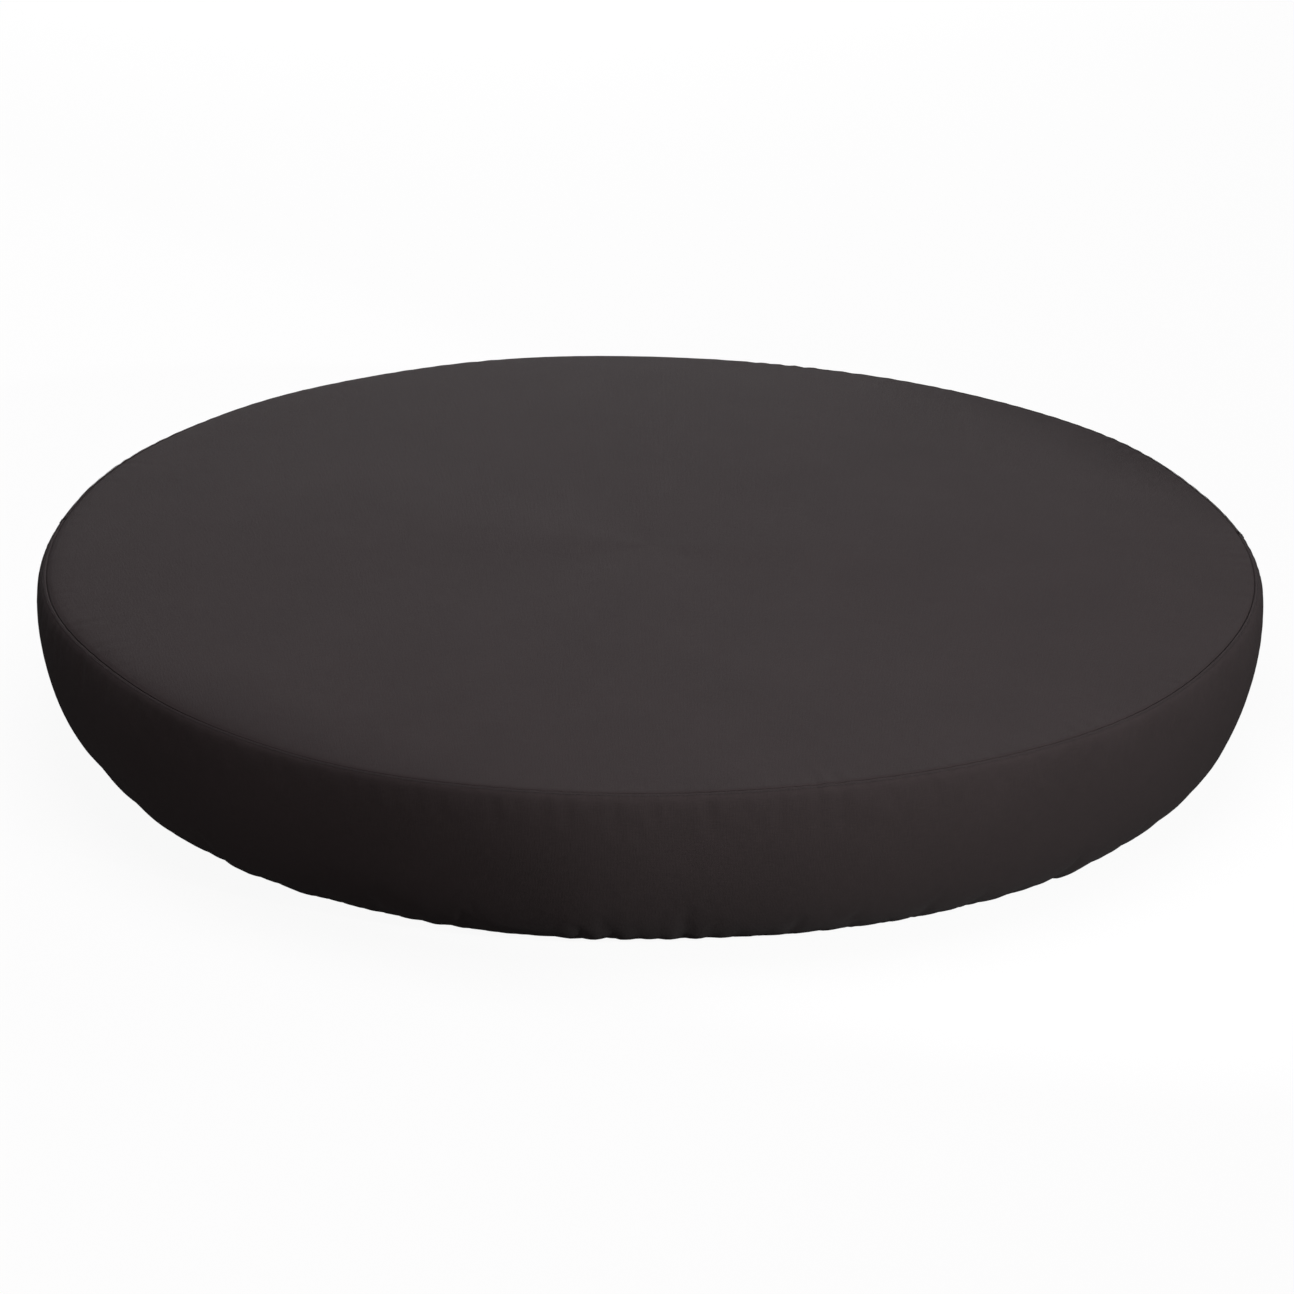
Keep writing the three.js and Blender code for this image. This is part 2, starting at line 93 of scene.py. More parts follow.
# Thicknesses
JACKET_CLOTH, LINING_CLOTH, BORDER_CLOTH, PATCH_CLOTH, SKIRT_CLOTH = 0.0015, 0.0012, 0.001, 0.0012, 0.0035
TAPE, HANDLE_WEBBING, STRAP_WEBBING, ANCHOR_WEBBING = 0.0016, 0.0026, 0.0018, 0.0024
PADDING_GAP = 0.0045  # from the jacket's outer face to the wadding
SEAM_DEPTH = 0.0022  # how far the band's ends are drawn in at the side seams


# ---- Mesh helpers ----
def link(obj):
    bpy.context.scene.collection.objects.link(obj)
    return obj


def mesh_object(name, points, faces, uv=None):
    """A smooth mesh. uv holds one (u, v) in metres for each face corner."""
    mesh = bpy.data.meshes.new(name)
    mesh.from_pydata(np.asarray(points, float).reshape(-1, 3).tolist(), [], [tuple(f) for f in faces])
    if uv is not None:
        mesh.uv_layers.new(name="weave").data.foreach_set("uv", np.asarray(uv, float).ravel())
    mesh.shade_smooth()
    mesh.update()
    return link(bpy.data.objects.new(name, mesh))


def grid_faces(rows, columns, wrap):
    """Quads of a grid whose rows run outwards or downwards and whose columns run anticlockwise."""
    across = columns if wrap else columns - 1
    i, j = np.meshgrid(np.arange(rows - 1), np.arange(across), indexing="ij")
    k = (j + 1) % columns
    quads = [i * columns + j, (i + 1) * columns + j, (i + 1) * columns + k, i * columns + k]
    return np.stack(quads, -1).reshape(-1, 4)


def grid_uv(u, v, wrap):
    """Corner coordinates for grid_faces, from a u for each column and a v for each row."""
    u = np.append(u, 2 * u[-1] - u[-2]) if wrap else u
    i, j = np.meshgrid(np.arange(len(v) - 1), np.arange(len(u) - 1), indexing="ij")
    corners = [(u[j], v[i]), (u[j], v[i + 1]), (u[j + 1], v[i + 1]), (u[j + 1], v[i])]
    return np.stack([np.stack(c, -1) for c in corners], 2).reshape(-1, 2)


def grid_object(name, points, u, v, wrap=False):
    return mesh_object(name, points, grid_faces(*points.shape[:2], wrap), grid_uv(u, v, wrap))


def polar(radius, angle, height):
    radius, angle, height = np.broadcast_arrays(radius, angle, height)
    return np.stack([radius * np.cos(angle), radius * np.sin(angle), height], -1)


def arc_length(line):
    steps = np.linalg.norm(np.diff(line, axis=0), axis=1)
    return np.concatenate([[0], np.cumsum(steps)])


def resample(line, count):
    """The same line with its points evenly spaced."""
    at = arc_length(line)
    even = np.linspace(0, at[-1], count)
    return np.stack([np.interp(even, at, line[:, k]) for k in range(line.shape[1])], 1)


def unit(vectors):
    return vectors / np.maximum(np.linalg.norm(vectors, axis=-1, keepdims=True), 1e-9)


def grid_normals(points, wrap):
    """Outward normals of a grid whose columns run anticlockwise and whose rows run outwards or down."""
    if wrap:
        along = np.roll(points, -1, 1) - np.roll(points, 1, 1)
    else:
        along = np.gradient(points, axis=1)
    return unit(np.cross(np.gradient(points, axis=0), along))


def thicken(obj, thickness):
    """Cloth thickness, on the inside of the outer face."""
    solid = obj.modifiers.new("thickness", "SOLIDIFY")
    solid.thickness = thickness
    solid.offset = -1
    return obj


def sweep(name, path, across, facing, half_width, thickness, ends=(True, True), start=0.0):
    """A webbing strip: a flat section with soft edges carried along a path. across and facing are unit
    vectors along the strip's width and out of its face, one for all of the path or one for each point.
    ends says which ends are closed, and start is how far along its webbing the strip begins."""
    across, facing = np.broadcast_to(across, path.shape), np.broadcast_to(facing, path.shape)
    lead, half = half_width - 0.35 * thickness, thickness / 2
    section = [(-lead, -half), (lead, -half), (half_width, -half * 0.4), (half_width, half * 0.4),
               (lead, half), (-lead, half), (-half_width, half * 0.4), (-half_width, -half * 0.4)]
    section = np.array(section)
    points = path[:, None] + across[:, None] * section[:, :1] + facing[:, None] * section[:, 1:]
    rows, sides = len(path), len(section)
    faces = list(map(tuple, grid_faces(rows, sides, True)))
    round_it = np.append(section[:, 0], section[0, 0])
    uv = grid_uv(round_it, start + arc_length(path), False)[:, ::-1]
    caps = [tuple(range(sides))[::-1], tuple((rows - 1) * sides + k for k in range(sides))]
    caps = [cap for cap, capped in zip(caps, ends) if capped]
    uv = np.concatenate([uv, np.zeros((sides * len(caps), 2))])
    return mesh_object(name, points, faces + caps, uv)


def ring_ribbon(name, inner, outer, angles, dip=0.0):
    """A flat tape lying along an arc about Z, lower by dip wherever it overlaps another."""
    path = polar((inner + outer) / 2, angles, TAPE_Z + TAPE / 2 - dip)
    return sweep(name, path, polar(1.0, angles, 0.0), DOWN, (outer - inner) / 2, TAPE)


def stitches(name, lines, pitch=0.0045, radius=0.00045):
    """Rows of stitches as short round threads. lines holds (points, normals) pairs. One normal may stand
    for its whole row."""
    turn = np.arange(6) * pi / 3
    rings = [(-0.36, 0.35, -0.5), (-0.24, 1.0, 0.35), (0.24, 1.0, 0.35), (0.36, 0.35, -0.5)]
    thread = np.array([(a, k * cos(t), k * sin(t) + h) for a, k, h in rings for t in turn])
    points = []
    for line, normals in lines:
        count = max(2, int(arc_length(line)[-1] / pitch) + 1)
        light = np.broadcast_to(normals, line.shape) * 1e-4  # so that only the line counts as length
        at, up = np.split(resample(np.concatenate([line, light], 1), count), 2, axis=1)
        along, up = unit(np.gradient(at, axis=0)), unit(up)
        side = np.cross(up, along)
        points.append(at[:, None] + along[:, None] * thread[:, :1] * pitch
                      + side[:, None] * thread[:, 1:2] * radius + up[:, None] * thread[:, 2:] * radius)
    points = np.concatenate(points)
    faces = tube_faces(len(points), len(rings), len(turn))
    obj = mesh_object(name, points, faces, np.zeros((sum(map(len, faces)), 2)))
    finish_piece(obj, "thread")


def tube_faces(count, rings, sides):
    """Faces of many short closed tubes, each made of rings of the same number of points."""
    size = rings * sides
    base = [*grid_faces(rings, sides, True), range(sides)[::-1], range(size - sides, size)]
    return [tuple(v + k * size for v in face) for k in range(count) for face in base]


def closed(line, normals):
    """A row of points and normals that comes round to one stitch short of its first."""
    return [np.concatenate([row, (row[-1:] + row[:1]) / 2]) for row in (line, normals)]


def bevel(obj, width, segments=2):
    edge = obj.modifiers.new("worn_edges", "BEVEL")
    edge.width = width
    edge.segments = segments
    edge.limit_method = "ANGLE"
    edge.angle_limit = radians(35)
    edge.harden_normals = True
    return obj


def finish_piece(obj, look, node=None, body=COVER, cloth=0.0):
    """Gives a piece the material and slot of a look and its body, and hides the CAD node that it stands
    for.
    cloth is the thickness that a bare surface gets."""
    if cloth:
        thicken(obj, cloth)
    obj.data.materials.append(MATERIALS[look])
    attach(obj, body)
    if node:
        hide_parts(node)


# ---- Irregular waves round the circle ----
def ring_waves(seed, low, high, angles=ANGLES):
    """A smooth periodic random curve of unit size, made of the harmonics from low to high."""
    random = np.random.default_rng(seed)
    orders = np.arange(low, high + 1)
    phases = random.uniform(0, 2 * pi, len(orders))
    sizes = random.normal(1, 0.4, len(orders))
    curve = (sizes[:, None] * np.cos(np.outer(orders, angles) + phases[:, None])).sum(0)
    return curve / np.sqrt((sizes**2).sum() / 2)


def bearings(knots):
    """A smooth periodic curve in metres through millimetres given at bearings."""
    curve = np.interp(np.degrees(ANGLES), list(knots), list(knots.values()), period=360) / 1000
    window = np.hanning(COLUMNS // 12 + 1)
    return np.convolve(np.tile(curve, 3), window / window.sum(), "same")[COLUMNS:2 * COLUMNS]


def fade(distance, reach):
    return np.exp(-np.maximum(distance, 0) / reach)


# ---- Materials ----
class Nodes:
    """Short names for building one material's node tree."""

    def __init__(self, name, colour, roughness, metallic=0.0, sheen=0.0, specular=0.5):
        self.material = bpy.data.materials.new(name)
        self.material.use_nodes = True
        self.tree = self.material.node_tree
        self.shader = self.tree.nodes["Principled BSDF"]
        self.colour = colour
        values = {"Base Color": (*colour, 1), "Roughness": roughness, "Metallic": metallic,
                  "Sheen Weight": sheen, "Sheen Roughness": 0.45, "Specular IOR Level": specular}
        for socket, value in values.items():
            self.shader.inputs[socket].default_value = value

    def add(self, kind, links=(), **values):
        node = self.tree.nodes.new("ShaderNode" + kind)
        for key, value in values.items():
            setattr(node, key, value)
        for socket, source in dict(links).items():
            if isinstance(source, bpy.types.NodeSocket):
                self.tree.links.new(source, node.inputs[socket])
            else:
                node.inputs[socket].default_value = source
        return node

    def weave_uv(self):
        return self.add("UVMap", uv_map="weave").outputs[0]

    def object_xyz(self):
        return self.add("TexCoord").outputs["Object"]

    def noise(self, vector, scale, detail=2.0, roughness=0.5):
        """Noise of one scale, or stretched by a scale for each axis."""
        if isinstance(scale, tuple):
            vector, scale = self.add("Mapping", {"Vector": vector, "Scale": scale}).outputs[0], 1.0
        inputs = {"Vector": vector, "Scale": scale, "Detail": detail, "Roughness": roughness}
        return self.add("TexNoise", inputs).outputs["Fac"]

    def math(self, operation, a, b=0.0):
        return self.add("Math", {0: a, 1: b}, operation=operation).outputs[0]

    def times(self, a, b):
        return self.math("MULTIPLY", a, b)

    def plus(self, a, b):
        return self.math("ADD", a, b)

    def span(self, value, low, high, start=0.0, end=1.0):
        """value, moved from the range start to end into the range low to high."""
        inputs = {"Value": value, "From Min": start, "From Max": end, "To Min": low, "To Max": high}
        return self.add("MapRange", inputs).outputs[0]

    def vary(self, noise, low, high):
        """A noise value, which keeps mostly between 0.3 and 0.7, spread over the range low to high."""
        return self.span(noise, low, high, 0.3, 0.7)

    def feed(self, socket, value):
        self.tree.links.new(value, self.shader.inputs[socket])

    def tint(self, amount, other=None):
        """The base colour times one amount, or two, that vary round 1."""
        amount = amount if other is None else self.times(amount, other)
        scale = self.add("VectorMath", {0: (*self.colour,), "Scale": amount}, operation="SCALE")
        self.feed("Base Color", scale.outputs[0])

    def roughness(self, value):
        self.feed("Roughness", value)

    def bump(self, height, strength, distance):
        inputs = {"Height": height, "Strength": strength, "Distance": distance}
        self.feed("Normal", self.add("Bump", inputs).outputs[0])

    def ridges(self, vector, axis, pitch):
        """Round ridges, a pitch apart, that follow one another along an axis."""
        part = self.add("SeparateXYZ", {0: vector}).outputs[axis]
        turn = self.times(part, 2 * pi / pitch)
        return self.span(self.math("SINE", turn), 0, 1, -1, 1)

    def wandering(self, vector, scale, amount):
        """The same coordinates, moved about smoothly by up to amount."""
        inputs = {"Vector": vector, "Scale": scale, "Detail": 1.0}
        noise = self.add("TexNoise", inputs).outputs["Color"]
        shift = self.add("VectorMath", {0: noise, 1: (0.5, 0.5, 0.5)}, operation="SUBTRACT").outputs[0]
        scaled = self.add("VectorMath", {0: shift, "Scale": amount}, operation="SCALE").outputs[0]
        return self.add("VectorMath", {0: vector, 1: scaled}, operation="ADD").outputs[0]

    def plain_weave(self, vector, pitch):
        """Yarns that pass over and under each other, each pitch wide, and none of them quite straight."""
        vector = self.wandering(vector, 0.06 / pitch, 3 * pitch)
        u = self.ridges(vector, 0, pitch)
        v = self.ridges(vector, 1, pitch)
        over = self.times(self.ridges(vector, 0, 2 * pitch), self.ridges(vector, 1, 2 * pitch))
        return self.plus(self.times(u, v), over)


def jacket_fabric(name, colour):
    """Coated outdoor canvas: a plain weave of slubby yarn, faintly mottled, nearly without shine."""
    n = Nodes(name, colour, 0.9, sheen=0.03, specular=0.12)
    uv = n.weave_uv()
    warp = n.noise(uv, (900, 45, 1), 3.0, 0.6)
    weft = n.noise(uv, (45, 900, 1), 3.0, 0.6)
    slubs = n.plus(warp, weft)
    patches = n.noise(uv, 5.0, 3.0, 0.55)
    weave = n.plain_weave(uv, 0.0011)
    tone = n.times(n.span(slubs, 0.86, 1.14, 0.7, 1.3), n.vary(patches, 0.955, 1.045))
    # painted shade and light: the weave darkens the colour by up to 7% in its valleys, where the bump
    # sinks, and lightens it a little on its crests
    n.tint(tone, n.span(weave, 0.93, 1.05, 0, 2))
    n.roughness(n.span(slubs, 0.8, 0.93, 0.7, 1.3))
    cockle = n.times(n.noise(uv, 38.0, 3.0, 0.6), 1.6)
    n.bump(n.plus(n.plus(weave, n.times(slubs, 1.2)), cockle), 0.35, 0.0006)
    return n.material


def webbing_fabric(name, colour, pitch=0.0022):
    """Woven tape: ribs across it in a herringbone, with painted shade in their valleys and painted light
    on their crests, and a little nylon shine.
    """
    n = Nodes(name, colour, 0.66, sheen=0.05, specular=0.3)
    uv = n.weave_uv()
    ribs = n.ridges(uv, 0, pitch)
    fine = n.ridges(uv, 1, pitch * 0.7)
    wear = n.noise(uv, 90.0, 3.0, 0.6)
    weave = n.plus(ribs, n.times(fine, 0.6))
    # painted shade and light: the ribs darken the colour by up to 25% in their valleys and lighten it on
    # their crests
    n.tint(n.span(weave, 0.75, 1.25, 0, 1.6), n.vary(wear, 0.85, 1.15))
    n.roughness(n.vary(wear, 0.55, 0.72))
    n.bump(weave, 0.6, 0.0005)
    return n.material


def lining_fabric(name, colour):
    """Ripstop lining: a smooth coated cloth with a grid of thicker yarns every 6 mm."""
    n = Nodes(name, colour, 0.55, sheen=0.1, specular=0.4)
    uv = n.weave_uv()
    grid = n.math("MAXIMUM", n.ridges(uv, 0, 0.006), n.ridges(uv, 1, 0.006))
    yarns = n.span(grid, 0, 1, 0.9, 1.0)
    cloud = n.noise(uv, 9.0, 4.0, 0.6)
    crease = n.noise(uv, (6, 22, 1), 4.0, 0.65)
    n.tint(n.span(yarns, 0.96, 1.2), n.vary(cloud, 0.88, 1.12))
    n.roughness(n.vary(cloud, 0.48, 0.66))
    n.bump(n.plus(n.times(yarns, 0.25), n.times(crease, 4.0)), 0.3, 0.0012)
    return n.material


def skirt_fabric(name, colour):
    """Knitted spacer cloth over foam: rows of small open cells."""
    n = Nodes(name, colour, 0.9, sheen=0.25, specular=0.2)
    uv = n.weave_uv()
    inputs = {"Vector": uv, "Scale": 330.0, "Randomness": 0.25}
    cells = n.add("TexVoronoi", inputs, feature="DISTANCE_TO_EDGE")
    wall = n.span(cells.outputs["Distance"], 0, 1, 0.02, 0.3)
    cloud = n.noise(uv, 14.0, 3.0, 0.6)
    n.tint(n.span(wall, 1.12, 0.7), n.vary(cloud, 0.9, 1.1))
    n.roughness(n.vary(cloud, 0.84, 0.96))
    n.bump(wall, 0.5, 0.0008)
    return n.material


def foam(name, colour, cell):
    """Moulded beads or soft fibres: cells whose edges, the grooves where the bump sinks, carry painted
    shade.
    """
    n = Nodes(name, colour, 0.8, specular=0.3)
    xyz = n.object_xyz()
    beads = n.add("TexVoronoi", {"Vector": xyz, "Scale": 1 / cell}).outputs["Distance"]
    cloud = n.noise(xyz, 7.0, 3.0)
    # painted shade: the colour is up to 10% darker towards each cell's edge, in the grooves between beads
    n.tint(n.span(beads, 1.04, 0.9), n.vary(cloud, 0.95, 1.04))
    n.roughness(n.span(beads, 0.7, 0.9))
    n.bump(n.math("SUBTRACT", 1.0, beads), 0.5, cell * 0.2)
    return n.material


def film(name, colour):
    """Polyethylene film, wrinkled where it is drawn round the core."""
    n = Nodes(name, colour, 0.25, specular=0.5)
    xyz = n.object_xyz()
    wrinkle = n.noise(xyz, (14, 14, 50), 5.0, 0.6)
    # painted shade and light: the noise that wrinkles the bump makes the hollows up to 10% darker and the
    # ridges up to 10% lighter
    n.tint(n.vary(wrinkle, 0.9, 1.1))
    n.roughness(n.vary(wrinkle, 0.16, 0.34))
    n.bump(wrinkle, 0.6, 0.002)
    return n.material


def metal(name, colour, roughness, grain=(20, 900, 900)):
    """Drawn or pressed metal with fine grain and dull patches from handling."""
    n = Nodes(name, colour, roughness, metallic=1.0)
    xyz = n.object_xyz()
    lines = n.noise(xyz, grain, 3.0, 0.6)
    dull = n.noise(xyz, 60.0, 4.0, 0.6)
    n.tint(n.vary(lines, 0.92, 1.06), n.vary(dull, 0.9, 1.05))
    n.roughness(n.plus(n.vary(lines, -0.05, 0.05), n.vary(dull, roughness - 0.05, roughness + 0.12)))
    n.bump(lines, 0.15, 0.0002)
    return n.material


def plastic(name, colour, roughness):
    """Moulded nylon or acetal with a fine spark-eroded grain and scuffs."""
    n = Nodes(name, colour, roughness, specular=0.45)
    xyz = n.object_xyz()
    grain = n.noise(xyz, 1400.0, 2.0)
    scuff = n.noise(xyz, (60, 200, 90), 4.0, 0.65)
    n.tint(n.span(scuff, 0.88, 1.25, 0.35, 0.75))
    n.roughness(n.span(scuff, roughness - 0.05, roughness + 0.14, 0.35, 0.75))
    n.bump(grain, 0.25, 0.0002)
    return n.material


JACKET_COLOUR = (0.0410, 0.0322, 0.0327)
MATERIALS = {
    "jacket": jacket_fabric("jacket_canvas", JACKET_COLOUR),
    "thread": webbing_fabric("sewing_thread", (0.030, 0.026, 0.027), 0.0007),
    "lining": lining_fabric("lining_ripstop", (0.033, 0.032, 0.034)),
    "tape": webbing_fabric("woven_tape", (0.020, 0.019, 0.020), 0.0016),
    "webbing": webbing_fabric("nylon_webbing", (0.020, 0.019, 0.020)),
    "skirt": skirt_fabric("skirt_spacer_cloth", (0.060, 0.060, 0.064)),
    "eps": foam("expanded_polystyrene", (0.85, 0.85, 0.84), 0.005),
    "wadding": foam("polyester_wadding", (0.80, 0.79, 0.76), 0.0015),
    "film": film("polyethylene_film", (0.55, 0.62, 0.66)),
    "elastic": foam("knitted_elastic", (0.70, 0.70, 0.69), 0.001),
    "aluminium": metal("drawn_aluminium", (0.62, 0.63, 0.64), 0.32),
    "eyelet": metal("nickel_plate", (0.52, 0.52, 0.53), 0.28, (300, 300, 300)),
    "zip_metal": metal("black_zinc", (0.035, 0.035, 0.038), 0.38, (400, 400, 400)),
    "coil": plastic("zip_nylon", (0.018, 0.018, 0.019), 0.35),
    "buckle": plastic("acetal", (0.014, 0.014, 0.015), 0.42),
}


# ---- Jacket ----
def crown_height(radius):
    return SEAM_Z + CROWN * (1 - (radius / SEAM_RADIUS) ** 2.5)


LIP = [(-0.0022, -0.0001), (-0.0008, -0.0005), (0.0, -0.0013), (0.0001, -0.0026), (-0.0016, -0.0036)]
GROOVE = [(-0.0016, -0.0042), (0.0004, -0.0036), (0.0010, -0.0024), (0.0021, -0.0016)]
SHOULDER_START = (0.0038, -0.0013)
TOPSTITCH = 0.0095  # from the bottom of the seam's groove, along the band


def band_line():
    """The band's outer line: out of the seam's groove, over the shoulder, and in under the rim."""
    radius, height = SEAM_RADIUS + SHOULDER_START[0], SEAM_Z + SHOULDER_START[1]
    turn = np.linspace(0, pi / 2, 24)
    shoulder = np.stack([radius + (WIDE_RADIUS - radius) * np.sin(turn),
                         WIDE_Z + (height - WIDE_Z) * np.cos(turn)], 1)
    reach = WIDE_RADIUS - TUCK_RADIUS
    last = acos((HEM_OUTER - TUCK_RADIUS) / reach)
    turn = np.linspace(0, last, 60)[1:]
    tuck = np.stack([TUCK_RADIUS + reach * np.cos(turn), WIDE_Z * (1 - np.sin(turn))], 1)
    body = resample(np.concatenate([shoulder, tuck]), 44)
    groove = np.array([(SEAM_RADIUS + r, SEAM_Z + z) for r, z in GROOVE])
    return np.concatenate([groove, body])


BAND_LINE = band_line()
BAND_REACH = arc_length(BAND_LINE)
TRUE_BAND = polar(BAND_LINE[:, :1], ANGLES, BAND_LINE[:, 1:])
BAND_NORMALS = grid_normals(TRUE_BAND, True)
FROM_SEAM, FROM_HEM = BAND_REACH[:, None], (BAND_REACH[-1] - BAND_REACH)[:, None]


GATHER_LIMIT = 1.6
SEAM_WOBBLE = 0.0016 * ring_waves(11, 3, 16)  # the seam wanders a little in and out
# How strongly each place round the seam is drawn up, and each place round the hem gathered.
PUCKER = np.clip(0.5 + 0.3 * ring_waves(21, 2, 14), 0.1, 1.1) * ring_waves(22, 110, 230)
PUCKER_DEPTH = 0.0003
GATHER = ring_waves(31, 70, 150) * np.clip(0.6 + 0.4 * ring_waves(32, 3, 20), 0.15, 1.4)
GATHER = GATHER_LIMIT * np.tanh(GATHER / GATHER_LIMIT)

# The stuffed jacket isn't quite true. Each gives millimetres at some bearings, in degrees from +X.
SADDLE = bearings({0: -2, 12: 0, 50: -5, 75: -6, 113: 2, 150: -3, 185: -2, 215: -7, 240: -14,
                   262: -6, 277: 0, 292: 2, 318: -5, 340: -3})
SHOULDER = bearings({0: -2, 12: -11, 35: -1, 90: 0, 135: 0, 148: 0, 158: -3, 172: -13, 185: 0, 270: 0})
FULLNESS = bearings({0: 1, 90: 2, 180: -1, 205: 0, 222: 9, 240: 6, 255: 8, 270: 0, 285: 1, 318: 9,
                     340: 7})
ROLL = bearings({0: 1, 20: 1, 90: 0, 150: 3, 180: 6, 215: 6, 235: 2, 250: 0, 330: 0})


def saddle_share(radius):
    """How much of the seam's rise and fall reaches a ring of the top panel."""
    return np.clip(radius / SEAM_RADIUS, 0, 1) ** 3


def jacket_top():
    """The crowned top panel, flat in the middle, with its edge turned down into the seam."""
    near_seam = np.array([0.11, 0.085, 0.065, 0.05, 0.038, 0.028, 0.02, 0.014, 0.009, 0.005])
    outer = np.concatenate([np.arange(0.60, 0.86, 0.04), 1 - near_seam]) * SEAM_RADIUS
    rings = []
    for radius in (0.04, 0.10, 0.15, 0.20, 0.28, 0.36, 0.44, 0.52, *outer):
        step = COLUMNS // ring_count(radius, TOP_RINGS)
        ring = polar(radius, ANGLES[::step], top_height(radius)[::step])
        out = SEAM_WOBBLE * fade(SEAM_RADIUS - radius, 0.2) + SHOULDER * saddle_share(radius)
        ring[:, :2] *= 1 + out[::step, None]
        rings.append(ring)
    for dr, dz in LIP:
        height = SEAM_Z + dz + PUCKER_DEPTH * PUCKER + SADDLE
        rings.append(polar(SEAM_RADIUS + dr + SEAM_WOBBLE + SHOULDER, ANGLES, height))
    return disc_object("jacket_top", CROWN_TOP, rings)


def ring_count(radius, limits):
    return next(count for limit, count in limits if radius < limit)


def disc_object(name, height, rings, flip=False):
    """A disc from its middle out. Each ring has as many points as the one inside it, or twice as many."""
    counts = [len(ring) for ring in rings]
    starts = np.cumsum([1] + counts).tolist()
    faces = [(0, 1 + j, 1 + (j + 1) % counts[0]) for j in range(counts[0])]
    for a, m, b, n in zip(starts, counts, starts[1:], counts[1:]):
        faces += bridge(a, m, b, n)
    if flip:
        faces = [face[::-1] for face in faces]
    points = np.concatenate([[[0, 0, height]], *rings])
    return mesh_object(name, points, faces, points[np.concatenate(faces), :2])


def bridge(a, m, b, n):
    """Faces between an inner ring of m points from index a and an outer one of n, m or 2 m, from b."""
    if m == n:
        return [(a + j, b + j, b + (j + 1) % n, a + (j + 1) % m) for j in range(m)]
    made = []
    for j in range(m):
        k = (j + 1) % m
        made.append((a + j, b + 2 * j, b + 2 * j + 1))
        made.append((a + j, b + 2 * j + 1, a + k))
        made.append((a + k, b + 2 * j + 1, b + (2 * j + 2) % n))
    return made


def top_height(radius):
    """Height of the top panel round one ring: the crown, a slight unevenness, puckers near the seam, and
    the roll, a fullness just inside the seam that turns the edge down where the padding is plump."""
    uneven = 0.0010 * ring_waves(41, 2, 5) * sin(pi * min(1, radius / SEAM_RADIUS))
    inside = SEAM_RADIUS - radius
    drawn = PUCKER_DEPTH * PUCKER * fade(inside, 0.035)
    rolled = ROLL * (fade(inside, 0.12) - fade(inside, 0.018))
    return crown_height(radius) + uneven + drawn + rolled + SADDLE * saddle_share(radius)


def sewn_flat(height):
    """How firmly the handles' patches hold each point of the band to its true line, from 0 to 1."""
    hold = np.zeros(height.shape)
    for degrees in HANDLES.values():
        for end in (degrees - HANDLE_SPREAD, degrees + HANDLE_SPREAD):
            near = np.exp(-(((np.degrees(ANGLES) - end) / 3.5) ** 4))
            hold = np.maximum(hold, near * np.exp(-(((height - HANDLE_Z) / 0.04) ** 4)))
    return hold


def band_points():
    """The band's grid, uneven in the middle, with puckers below the seam and gathers above the hem."""
    loose = 1 - sewn_flat(TRUE_BAND[..., 2])
    points = TRUE_BAND.copy()
    out = (SEAM_WOBBLE + SHOULDER) * np.clip(1 - FROM_SEAM / 0.1, 0, 1) * loose
    points[..., :2] *= 1 + out[..., None]
    share = FROM_SEAM / BAND_REACH[-1]
    move = 0.0007 * PUCKER * fade(FROM_SEAM, 0.03) * np.minimum(1, FROM_SEAM / 0.01)
    move += 0.0016 * ring_waves(51, 4, 22) * np.sin(pi * share)
    move += 0.0016 * GATHER * fade(FROM_HEM, 0.05)
    move += 0.0008 * ring_waves(52, 30, 70) * fade(FROM_HEM, 0.12)
    low = np.clip((share - 0.4) / 0.45, 0, 1)
    move += FULLNESS * low**2 * (3 - 2 * low) * (1 - fade(FROM_HEM, 0.008))
    points += BAND_NORMALS * (move * loose)[..., None]
    points[..., 2] += SADDLE * np.clip(1 - FROM_SEAM / 0.12, 0, 1) ** 2
    points[..., 2] = np.maximum(points[..., 2], 0.002)
    return points


# The cloth simulation that settles the band: metres, kilograms and Blender's own units of stiffness.
CLOTH_FRAMES, CLOTH_QUALITY = 20, 5
CLOTH_MASS, CLOTH_STIFFNESS, CLOTH_BENDING = 0.05, 15.0, 2.0
CLOTH_PRESSURE = 4.0
CLOTH_SPARE = -0.004  # a negative shrink: the share by which the cloth is longer than what it covers
CLOTH_LONGEST = 9
CLOTH_CAP = 0.003


